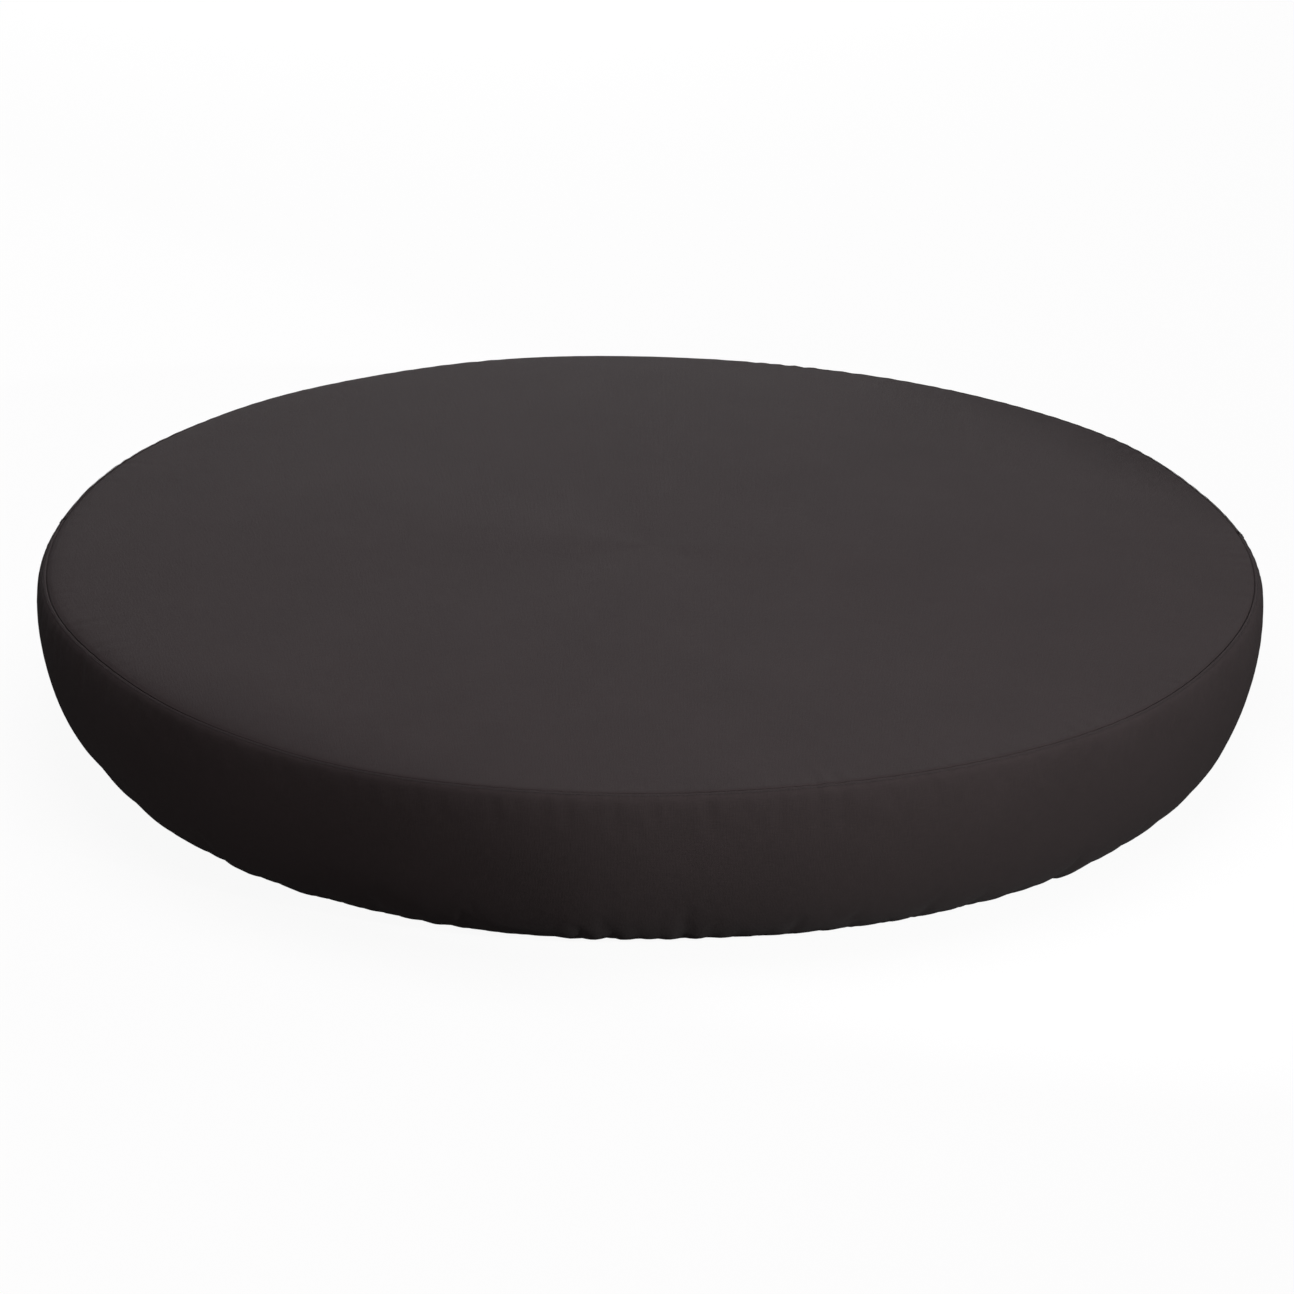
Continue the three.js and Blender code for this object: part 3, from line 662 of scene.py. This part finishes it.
def settled(points):
    """Where the band's cloth comes to rest. It is cut a little larger than the padding, which presses it
    out, so it buckles between seam, hem and patches. The overall shape is kept: only waves that fit into
    the circle at least CLOTH_LONGEST times count, and no point moves further than CLOTH_CAP."""
    held = np.maximum(fade(FROM_SEAM - 0.008, 0.006), fade(FROM_HEM - 0.008, 0.008))
    held = np.maximum(held, sewn_flat(points[..., 2]))
    obj = grid_object("settling", points, ANGLES, BAND_REACH, True)
    group = obj.vertex_groups.new(name="held")
    for index, weight in enumerate(held.ravel()):
        group.add([index], float(weight), "REPLACE")
    cloth = obj.modifiers.new("cloth", "CLOTH").settings
    cloth.quality, cloth.mass = CLOTH_QUALITY, CLOTH_MASS
    cloth.tension_stiffness = cloth.compression_stiffness = cloth.shear_stiffness = CLOTH_STIFFNESS
    cloth.bending_stiffness = CLOTH_BENDING
    cloth.use_pressure, cloth.uniform_pressure_force = True, CLOTH_PRESSURE
    cloth.vertex_group_mass = "held"
    cloth.shrink_min = CLOTH_SPARE
    cloth.effector_weights.gravity = 0
    for moment in range(1, CLOTH_FRAMES + 1):
        bpy.context.scene.frame_set(moment)
    apply_modifiers(obj)
    after = np.empty(points.size)
    obj.data.vertices.foreach_get("co", after)
    bpy.data.objects.remove(obj)
    bpy.context.scene.frame_set(1)
    normals = grid_normals(points, True)
    moved = ((after.reshape(points.shape) - points) * normals).sum(-1)
    waves = np.fft.rfft(moved, axis=1)
    waves[:, :CLOTH_LONGEST] = 0
    moved = np.clip(np.fft.irfft(waves, COLUMNS, axis=1), -CLOTH_CAP, CLOTH_CAP)
    return points + normals * moved[..., None]


def side_band(name, first, last, points):
    """One length of the band, from one side seam to the other, with its ends drawn into the seam."""
    columns = np.arange(first, last + 1)
    part = points[:, columns % COLUMNS].copy()
    part[:, [0, -1]] -= grid_normals(part, False)[:, [0, -1]] * SEAM_DEPTH
    obj = grid_object(name, part, columns * 2 * pi / COLUMNS, -BAND_REACH)
    finish_piece(obj, "jacket", "side_" + name, cloth=JACKET_CLOTH)


def side_seam(name, column, points):
    """A felled seam: a narrow raised strip over the joint, with a row of stitches along each edge."""
    offsets = np.linspace(-1, 1, 9)
    around = points[:, (column + np.arange(-2, 3)) % COLUMNS]
    normals = grid_normals(around, False)
    across = np.stack([np.interp(offsets * 0.92, [-2, -1, 0, 1, 2], around[i, :, k])
                       for i in range(len(points)) for k in range(3)], 0).reshape(len(points), 3, 9)
    raised = 0.0014 * (1 - np.abs(offsets) ** 6) - 0.0004
    strip = across.transpose(0, 2, 1) + normals[:, 2][:, None] * raised[None, :, None]
    strip = strip[len(GROOVE):]
    obj = grid_object(name + "_strip", strip, offsets * 0.008, -BAND_REACH[len(GROOVE):])
    finish_piece(obj, "jacket", name)
    rows = [(strip[:, k], normals[len(GROOVE):, 2]) for k in (1, 7)]
    stitches(name + "_stitches", rows)


def make_jacket():
    """The top panel, the band in two lengths, its side seams, and the topstitching below the top seam."""
    finish_piece(jacket_top(), "jacket", "top_panel", cloth=JACKET_CLOTH)
    points = settled(band_points())
    seam = round(SIDE_SEAM / (2 * pi) * COLUMNS)
    half = COLUMNS // 2
    side_band("band_rear", seam, half - seam, points)
    side_band("band_front", half - seam, COLUMNS + seam, points)
    side_seam("side_seam_right", seam, points)
    side_seam("side_seam_left", half - seam, points)
    row = len(GROOVE)
    share = (TOPSTITCH - BAND_REACH[row]) / (BAND_REACH[row + 1] - BAND_REACH[row])
    line = points[row] * (1 - share) + points[row + 1] * share
    normals = grid_normals(points, True)[row]
    stitches("top_seam_stitches", [closed(line + normals * 0.0005, normals)], pitch=0.005)
    return points


def make_padding(band):
    """The wadding over and round the core, and the tape behind the seam. The jacket shapes them."""
    inner = (SEAM_RADIUS - 0.016) * np.array([0.05, 0.15, 0.3, 0.45, 0.6, 0.75, 0.86, 0.94, 1.0])
    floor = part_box("top_pad")[0].z
    top = [(r, crown_height(r) - PADDING_GAP, saddle_share(r)) for r in inner[::-1]]
    ring_shape("pad_over_core", [(0.05, floor, 0), (inner[-1], floor, 0), *top], "top_pad")
    low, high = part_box("edge_pad")[0].z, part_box("edge_pad")[1].z
    rows = (BAND_LINE[:, 1] > low) & (BAND_LINE[:, 1] < high)
    outside = (band - grid_normals(band, True) * PADDING_GAP)[rows, ::3]
    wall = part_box("vapour_film_upper")[1].x + 0.001
    inside = polar(wall, ANGLES[::3], [[low], [high]])
    shape = np.concatenate([outside, inside, outside[:1]])
    pad = grid_object("pad_round_core", shape, ANGLES[::3], np.arange(len(shape)) * 0.01, True)
    finish_piece(pad, "wadding", "edge_pad")
    r, z = SEAM_RADIUS - 0.009, SEAM_Z - 0.012
    corners = [(-0.004, 0.004), (0.005, 0.004), (0.005, -0.005), (-0.004, -0.005)]
    tape = [(r + a, z + b, 1) for a, b in corners]
    ring_shape("tape_behind_seam", tape, "top_seam_binding", "tape")


def ring_shape(name, outline, replaces, look="wadding"):
    """A closed (radius, height, share of the saddle) outline turned about Z."""
    outline = np.array(outline + outline[:1])
    angles = ANGLES[::6]
    radius, height = outline[:, :1], outline[:, 1:2] + outline[:, 2:] * SADDLE[::6]
    obj = grid_object(name, polar(radius, angles, height), angles, arc_length(outline[:, :2]), True)
    finish_piece(obj, look, replaces)


HEM_WAVE = 0.0014  # how far a gather moves the hem in and out
HEM_SWELL = 0.08  # the share by which a gather thickens it


def make_hem():
    """The elastic hem: a soft tube, gathered all the way round."""
    turn = np.linspace(0, 2 * pi, 21)
    wide, tall = (HEM_OUTER - HEM_INNER) / 2, HEM_HEIGHT / 2
    x, y = (np.sign(wave) * np.abs(wave) ** 0.8 for wave in (np.cos(turn), np.sin(turn)))
    radius, height = HEM_INNER + wide + wide * x, tall - tall * y
    radius = radius[:, None] + HEM_WAVE * GATHER * np.cos(turn)[:, None]
    height = tall + (height[:, None] - tall) * (1 + HEM_SWELL * GATHER)
    points = polar(radius, ANGLES, np.maximum(height, 0.0004))
    hem = grid_object("hem_tube", points[::-1], ANGLES * HEM_OUTER, turn * wide, True)
    finish_piece(hem, "jacket", "hem_casing")
    inner = points[12]
    up = polar(-0.8, ANGLES, 0.6)
    stitches("hem_stitches", [closed(inner + up * 0.0002, up)], pitch=0.006, radius=0.0006)


def make_skirt_lining(band):
    """Spacer cloth over the foam inside the skirt. It follows the band and is drawn in by the gathers."""
    inside = band - BAND_NORMALS * SKIRT_DEPTH
    heights = BAND_LINE[:, 1]
    inside = inside[(heights < LINING_Z + 0.002) & (heights > HEM_HEIGHT + 0.003)]
    above = np.linspace(1, 0, len(inside))[:, None]
    loose = 0.0012 * np.clip(ring_waves(61, 12, 40), 0, 2) * np.sin(pi * above)
    inside[..., :2] *= 1 - loose[..., None]
    foot = polar(HEM_OUTER - 0.008, ANGLES[None, :], HEM_HEIGHT + 0.0008)
    points = np.concatenate([inside, foot])
    skirt = grid_object("skirt_lining", points[:, ::-1], ANGLES, arc_length(points[:, 0]), True)
    finish_piece(skirt, "skirt", "skirt_padding", cloth=SKIRT_CLOTH)


# ---- Underside ----
def make_lining():
    """The lining is stretched flat under the core, with a hole at each drain eyelet."""
    near_edge = LINING_RADIUS - np.array([0.012, 0.005, 0])
    rings = []
    for radius in (*np.arange(0.05, LINING_RADIUS - 0.02, 0.05), *near_edge):
        angles = ANGLES[::COLUMNS // ring_count(radius, LINING_RINGS)]
        sag = 0.0007 * ring_waves(71, 2, 9, angles) * sin(pi * radius / LINING_RADIUS)
        rings.append(polar(radius, angles, LINING_Z + sag))
    lining = thicken(disc_object("lining_sheet", LINING_Z, rings, flip=True), LINING_CLOTH)
    turn = np.arange(24) * 2 * pi / 24
    for angle in np.radians(EYELET_ANGLES):
        centre = polar(EYELET_RING, angle, LINING_Z)
        points = np.concatenate([polar(DRAIN_RADIUS, turn, z) + centre for z in (-0.02, 0.02)])
        cutter = mesh_object("cutter", points, tube_faces(1, 2, len(turn)))
        hole = lining.modifiers.new("hole", "BOOLEAN")
        hole.operation, hole.object, hole.solver = "DIFFERENCE", cutter, "EXACT"
        apply_modifiers(lining)
        bpy.data.objects.remove(cutter)
    lining.data.set_sharp_from_angle(angle=radians(40))
    finish_piece(lining, "lining", "underside_lining")


def apply_modifiers(obj):
    bpy.context.view_layer.update()
    ready = obj.evaluated_get(bpy.context.evaluated_depsgraph_get())
    mesh = bpy.data.meshes.new_from_object(ready)
    obj.modifiers.clear()
    obj.data = mesh


def make_border():
    """The wide outer ring of the lining, that the tub's rim bears on, with its edges turned up."""
    out, up = np.array([(0, 0.0014), (-0.0006, 0.0004), (0.0012, -0.0002), (0.03, 0), (0.055, 0),
                        (0.08, 0), (0.1, 0), (0.109, 0.0003), (0.111, 0.0014)]).T[..., None]
    angles = ANGLES[::2]
    wave = 0.0006 * ring_waves(81, 8, 60, angles) * np.sin(pi * np.clip(out / out[-1], 0, 1))
    radius = BORDER_INNER + out
    points = polar(radius, angles[::-1], LINING_Z + up + wave)
    border = grid_object("border_sheet", points, angles * BORDER_OUTER, radius[:, 0], True)
    finish_piece(border, "lining", "lining_border", cloth=BORDER_CLOTH)
    rows = [(polar(BORDER_OUTER - r, angles, LINING_Z - 0.0004), DOWN) for r in (0.006, 0.011)]
    stitches("border_stitches", rows)


def make_seam_tape():
    """The tape over the front of the lining's seam. Its ends lie over the ends of the zip."""
    start, end = ZIP_END + radians(1.7), 2 * pi + ZIP_START - radians(1.7)
    inner, outer = LINING_RADIUS - 0.007, BORDER_INNER + 0.007
    angles = np.linspace(start, end, 700)
    from_end = np.degrees(np.minimum(angles - start, end - angles))
    dip = 0.0019 * np.clip((2.2 - from_end) / 0.8, 0, 1)
    tape = ring_ribbon("front_seam_tape", inner, outer, angles, dip)
    finish_piece(tape, "tape", "lining_seam_tape")
    rows = [(polar(r, angles, TAPE_Z - 0.0001 - dip), DOWN) for r in (inner + 0.004, outer - 0.004)]
    for at in (start, end):
        t = np.linspace(inner + 0.003, outer - 0.003, 12)
        across = copysign(radians(0.25), pi * 1.5 - at)
        rows.append((polar(t, at + across, TAPE_Z - 0.002), DOWN))
    stitches("seam_tape_stitches", rows)


def make_zip():
    """Two woven tapes, each with a row of moulded teeth. The slider, pull and stops are the frame's."""
    margin = radians(3)
    angles = np.linspace(ZIP_START - margin, ZIP_END + margin, 700)
    for side, sign in (("inner", -1), ("outer", 1)):
        edges = sorted([ZIP_RADIUS + sign * 0.0012, ZIP_RADIUS + sign * 0.024])
        tape = ring_ribbon("tape_" + side, *edges, angles[::2])
        finish_piece(tape, "tape", "zip_tape_" + side)
        teeth(side, sign)
    rows = [(polar(ZIP_RADIUS + r, angles, TAPE_Z - 0.0001), DOWN) for r in (-0.017, 0.017)]
    stitches("zip_tape_stitches", rows)


def teeth(side, sign):
    """A row of teeth, rounded beads whose tips lie between the tips of the other row."""
    pitch, width, reach, tip = 0.003, 0.0015, 0.0054, 0.0006
    base = TAPE_Z - 0.0003
    count = int(ZIP_RADIUS * (ZIP_END - ZIP_START) / pitch)
    angles = np.linspace(ZIP_START, ZIP_END, count) + sign * pitch / 4 / ZIP_RADIUS
    outline = [(-0.5, 0.0), (-0.5, 0.55), (-0.22, 1.0), (0.22, 1.0), (0.5, 0.55), (0.5, 0.0)]
    ends = [(reach, 0.7), (reach - 0.0006, 1.0), (0.0012, 1.0), (-tip, 0.75)]
    shape = np.array([(ZIP_RADIUS + sign * e, a * k * width, base - d * k * (base - COIL_Z))
                      for e, k in ends[::-sign] for a, d in outline])
    angles = angles[:, None]
    points = polar(shape[:, 0], angles, shape[:, 2]) + polar(shape[:, 1], angles + pi / 2, 0.0)
    row = mesh_object("teeth_" + side, points, tube_faces(count, len(ends), len(outline)))
    finish_piece(row, "coil", "zip_coil_" + side)


def make_eyelets():
    """Pressed rings with a rolled flange, one in each drain hole."""
    turn = np.linspace(pi, 0, 9)
    rolled = [(0.0095 + 0.0035 * cos(t), LINING_Z - 0.0004 - 0.0012 * sin(t)) for t in turn]
    barrel = [(0.0125, LINING_Z + 0.0022), (0.0080, LINING_Z + 0.0030), (0.0060, LINING_Z + 0.0016)]
    profile = np.array(rolled + barrel + rolled[:1])[::-1]
    angles = ANGLES[::COLUMNS // 48]
    for k, at in enumerate(np.radians(EYELET_ANGLES), 1):
        points = polar(profile[:, :1], angles, profile[:, 1:]) + polar(EYELET_RING, at, 0.0)
        around = angles * profile[:, 0].max()
        ring = grid_object(f"eyelet_ring_{k}", points, around, arc_length(profile), True)
        finish_piece(ring, "eyelet", f"drain_eyelet_{k}")


# ---- Handles and straps ----
def smooth_path(points, count):
    """A rounded line through given points, evenly spaced."""
    points = np.asarray(points, float)
    for _ in range(3):
        low = points[:-1] * 0.75 + points[1:] * 0.25
        high = points[:-1] * 0.25 + points[1:] * 0.75
        between = np.stack([low, high], 1).reshape(-1, points.shape[1])
        points = np.concatenate([points[:1], between, points[-1:]])
    return resample(points, count)


def bending_webbing(strap, node):
    """Gives webbing its material, bakes its transform, and hides the CAD node that it stands for."""
    strap.data.materials.append(MATERIALS["webbing"])
    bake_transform(strap)
    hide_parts(node)


def handle_line(span, free):
    """A handle's middle line as (out of the band's face, along the handle, up) points: sewn flat to the
    face beyond free, at both ends, and drooping between."""
    y = np.linspace(-free + 0.004, free - 0.004, 25)
    bow = HANDLE_BOW * np.sin(pi * (y + free) / (2 * free)) ** 0.8
    middle = np.stack([HANDLE_PIVOT + bow * cos(HANDLE_DROOP), y, -bow * sin(HANDLE_DROOP)], 1)
    y = np.linspace(span - 0.015, span + 0.019, 5)
    sewn = np.stack([np.sqrt(HANDLE_FACE**2 - y * y) - HANDLE_FACE + 0.0052, y, 0 * y], 1)
    return smooth_path(np.concatenate([sewn[::-1] * (1, -1, 1), middle, sewn]), 96)


def make_handle(name, degrees):
    """Webbing sewn to the band on a patch at each end, with a middle that bows out and droops. It is made
    in two halves that meet in the middle."""
    angle = radians(degrees)
    out, along, up = polar(1.0, angle, 0.0), polar(1.0, angle + pi / 2, 0.0), -DOWN
    span = HANDLE_FACE * sin(radians(HANDLE_SPREAD))
    free = span - 0.026
    line = handle_line(span, free)
    lean = HANDLE_DROOP * np.clip(1 - (np.abs(line[:, 1]) / free) ** 4, 0, 1)
    width_axis = up * np.cos(lean)[:, None] + out * np.sin(lean)[:, None]
    centre = polar(HANDLE_FACE, angle, HANDLE_Z)
    path = centre + line @ np.stack([out, along, up])
    facing = unit(np.cross(np.gradient(path, axis=0), width_axis))
    middle = len(path) // 2
    for part, half, side in (("first", slice(0, middle + 1), -1), ("last", slice(middle, None), 1)):
        strap = sweep(f"{name}_{part}_half", path[half], width_axis[half], facing[half], HANDLE_WIDTH / 2,
                      HANDLE_WEBBING, ends=(side < 0, side > 0), start=arc_length(path)[half][0])
        bending_webbing(strap, name)
    rearward = 1 if degrees < 90 else -1
    for end, sign in (("front", -rearward), ("rear", rearward)):
        make_patch(f"{name}_patch_{end}", degrees + HANDLE_SPREAD * sign)


def make_patch(name, degrees):
    """A square of canvas under a handle's end, with a boxed cross of stitches through the webbing."""
    half, rows = 0.024, 13
    side = np.linspace(-half, half, rows)
    v, u = np.meshgrid(side[::-1], side, indexing="ij")
    edge = np.maximum(np.abs(u), np.abs(v)) / half
    angle = radians(degrees) + u / HANDLE_FACE
    radius = HANDLE_FACE + 0.0028 - 0.0034 * np.clip(edge - 0.8, 0, 1) ** 2 / 0.04
    points = polar(radius, angle, HANDLE_Z - 0.001 + v)
    patch = grid_object(name + "_canvas", points, side, side)
    finish_piece(patch, "jacket", name, cloth=PATCH_CLOTH)
    half = 0.0115

    def on_webbing(a, b):
        t = np.linspace(0, 1, 12)[:, None]
        flat = np.array(a) * (1 - t) + np.array(b) * t
        at = radians(degrees) + flat[:, 0] / HANDLE_FACE
        points = polar(HANDLE_FACE + 0.0068, at, HANDLE_Z + flat[:, 1])
        return points, polar(1.0, at, 0.0)

    corners = [(-half, -half), (half, -half), (half, half), (-half, half)]
    lines = [on_webbing(a, b) for a, b in zip(corners, corners[1:] + corners[:1])]
    lines += [on_webbing(corners[0], corners[2]), on_webbing(corners[1], corners[3])]
    stitches(name + "_stitches", lines, pitch=0.0036)


def hanging_strip(name, degrees, line, half_width, thickness):
    """Webbing along (radius, height) points at one bearing. Gives its path and width direction too."""
    path = polar(line[:, 0], radians(degrees), line[:, 1])
    across = polar(1.0, radians(degrees) + pi / 2, 0.0)
    facing = unit(np.cross(np.gradient(path, axis=0), across))
    return sweep(name, path, across, facing, half_width, thickness), path, across


def make_strap(number, degrees):
    """A tie-down strap: its top is sewn under a tab, and its end loops through a buckle's tongue."""
    drop = np.array(STRAP_LINE[2]) - np.array(STRAP_LINE[1])
    drop /= np.linalg.norm(drop)
    back = np.array([drop[1], -drop[0]])
    end = np.array(STRAP_LINE[2])
    bar = end + drop * 0.004
    loop = [bar + back * 0.003, bar + drop * 0.0028, bar - back * 0.003]
    tail = [end - drop * 0.004 - back * 0.0034, end - drop * 0.026 - back * 0.0034]
    line = smooth_path([*STRAP_LINE[:2], end - drop * 0.004 + back * 0.001, *loop, *tail], 60)
    name = f"strap_webbing_{number}"
    strap, path, _ = hanging_strip(name, degrees, line, STRAP_WIDTH / 2, STRAP_WEBBING)
    bending_webbing(strap, f"tie_strap_{number}")
    make_buckle(number, degrees, bar, drop)
    make_anchor(number, degrees)


def make_buckle(number, degrees, bar, drop):
    """The tongue half of a side-release buckle: a slotted frame, two sprung arms and a guide rib."""
    middle = [(0.0018, 0.017, -0.0014, 0.0014), (0.003, 0.017, -0.0145, -0.0075),
              (0.0022, 0.0025, -0.0285, -0.013)]  # half depth, half width, bottom, top
    paired = [(0.0026, 0.0135, 0.017, -0.0095, 0.001), (0.0026, 0.0115, 0.0150, -0.028, -0.013),
              (0.003, 0.0095, 0.0155, -0.0305, -0.0245)]  # half depth, inner and outer edge, bottom, top
    boxes = [(-d, d, -w, w, low, high) for d, w, low, high in middle]
    for d, near, far, low, high in paired:
        boxes += [(-d, d, -far, -near, low, high), (-d, d, near, far, low, high)]
    corners = [(x, y, z) for x0, x1, y0, y1, z0, z1 in boxes
               for z in (z0, z1) for y in (y0, y1) for x in (x0, x1)]
    sides = [(0, 2, 3, 1), (4, 5, 7, 6), (0, 1, 5, 4), (2, 6, 7, 3), (0, 4, 6, 2), (1, 3, 7, 5)]
    faces = [tuple(8 * k + v for v in side) for k in range(len(boxes)) for side in sides]
    buckle = bevel(mesh_object(f"buckle_tongue_{number}", corners, faces), 0.0007, 3)
    lean = atan2(-drop[0], -drop[1])
    turn = Quaternion((0, 0, 1), radians(degrees)) @ Quaternion((0, 1, 0), lean)
    matrix = turn.to_matrix().to_4x4()
    matrix.translation = polar(bar[0], radians(degrees), bar[1])
    buckle.data.transform(matrix)
    finish_piece(buckle, "buckle", f"tie_buckle_{number}", body=f"tie_{number}")


def make_anchor(number, degrees):
    """The tab that holds a strap's top: webbing turned down and stitched to the lining's border."""
    line = smooth_path([(0.950, 0.1142), (0.966, 0.1142), (0.9735, 0.1138), (0.9722, 0.1098),
                        (0.9700, 0.1072)], 24)
    tab, _, across = hanging_strip(f"anchor_tab_{number}", degrees, line, 0.0135, ANCHOR_WEBBING)
    finish_piece(tab, "webbing", f"strap_anchor_{number}")
    t = np.linspace(-0.011, 0.011, 12)[:, None]
    rows = [(polar(r, radians(degrees), 0.1128) + across * t, DOWN) for r in (0.9525, 0.957, 0.9615)]
    stitches(f"anchor_stitches_{number}", rows, pitch=0.0034)


# ---- Nodes kept from the frame ----
KEPT = {  # look: (worn edge, nodes)
    "aluminium": (0.0008, ["spine_channel_left", "spine_channel_right"]),
    "eps": (0.003, ["foam_core_left", "foam_core_right"]),
    "film": (0, ["vapour_film_lower", "vapour_film_upper"]),
    "elastic": (0, ["hem_elastic"]),
    "zip_metal": (0.0006, ["zip_slider", "zip_pull", "zip_stop_open", "zip_stop_closed"]),
}


def dress_kept_nodes():
    for look, (worn, names) in KEPT.items():
        for name in names:
            NODES[name].data.materials.clear()
            NODES[name].data.materials.append(MATERIALS[look])
            if worn:
                bevel(NODES[name], worn)


# ---- Stage ----
FLOOR_DIFFUSE = 0.09  # throws little light back up under the rim, and takes only a faint shadow
FLOOR_GLOW = 0.93  # keeps the floor pale to the camera, and lights nothing
WORLD_LIGHT = 0.085


def make_floor():
    bpy.ops.mesh.primitive_plane_add(size=60, location=(0, 0, -0.0005))
    floor = bpy.context.object
    floor.name = "floor"
    n = Nodes("pale_floor", (FLOOR_DIFFUSE,) * 3, 0.9, specular=0.0)
    seen = n.add("LightPath").outputs["Is Camera Ray"]
    n.feed("Emission Strength", n.times(seen, FLOOR_GLOW))
    n.shader.inputs["Emission Color"].default_value = (1, 1, 1, 1)
    floor.data.materials.append(n.material)


def make_camera():
    """The view: 21.7 degrees above level, straight on, through a long lens, with a slight lean."""
    elevation, lean = radians(21.7), radians(0.76)
    target, distance = Vector((0, 0, 0.15)), 12.86
    data = bpy.data.cameras.new("camera")
    data.lens, data.sensor_width = 215, 36
    data.shift_x, data.shift_y = -0.0019, -0.0021
    data.clip_end = 200
    camera = link(bpy.data.objects.new("camera", data))
    back = Vector((0, -cos(elevation), sin(elevation)))
    camera.location = target + back * distance
    camera.rotation_mode = "QUATERNION"
    camera.rotation_quaternion = (-back).to_track_quat("-Z", "Y") @ Quaternion((0, 0, 1), lean)
    bpy.context.scene.camera = camera


def add_light(kind, name, place, aim, power, **settings):
    """A light at a place, pointed at another. settings are the light data's own."""
    data = bpy.data.lights.new(name, kind)
    data.energy = power
    for key, value in settings.items():
        setattr(data, key, value)
    light = link(bpy.data.objects.new(name, data))
    light.location = place
    light.rotation_mode = "QUATERNION"
    light.rotation_quaternion = (Vector(aim) - Vector(place)).to_track_quat("-Z", "Y")


def make_lights():
    """A wide soft light overhead, a low one from the right that leaves the left of the band in shade, and
    weak ones from the camera's left and from behind."""
    world = bpy.data.worlds.new("studio")
    world.use_nodes = True
    background = world.node_tree.nodes["Background"]
    background.inputs["Color"].default_value = (1, 1, 1, 1)
    background.inputs["Strength"].default_value = WORLD_LIGHT
    bpy.context.scene.world = world
    middle = (0, 0, 0.2)
    add_light("AREA", "overhead", (0.2, -0.1, 5.5), (0, 0, 0.1), 158, shape="DISK", size=5.0,
              color=(1, 0.955, 1))
    azimuth, elevation, reach = radians(-45), radians(19), 7.05
    key = polar(reach * cos(elevation), azimuth, middle[2] + reach * sin(elevation))
    add_light("SPOT", "key", key, middle, 1150, spot_size=radians(16.2), spot_blend=0.16,
              shadow_soft_size=0.1)
    add_light("AREA", "fill_left", (-2.5, -6, 2.0), middle, 74, shape="DISK", size=2.0,
              color=(1, 0.93, 0.93))
    add_light("AREA", "fill_rear", (-0.5, 6, 1.0), middle, 90, shape="DISK", size=2.0)


make_camera()
make_floor()
make_lights()
bpy.context.scene.view_settings.view_transform = "Standard"
jacket_band = make_jacket()
make_padding(jacket_band)
make_hem()
make_skirt_lining(jacket_band)
make_lining()
make_border()
make_seam_tape()
make_zip()
make_eyelets()
for handle, place in HANDLES.items():
    make_handle(handle, place)
for index, place in enumerate(STRAP_ANGLES, 1):
    make_strap(index, place)
dress_kept_nodes()
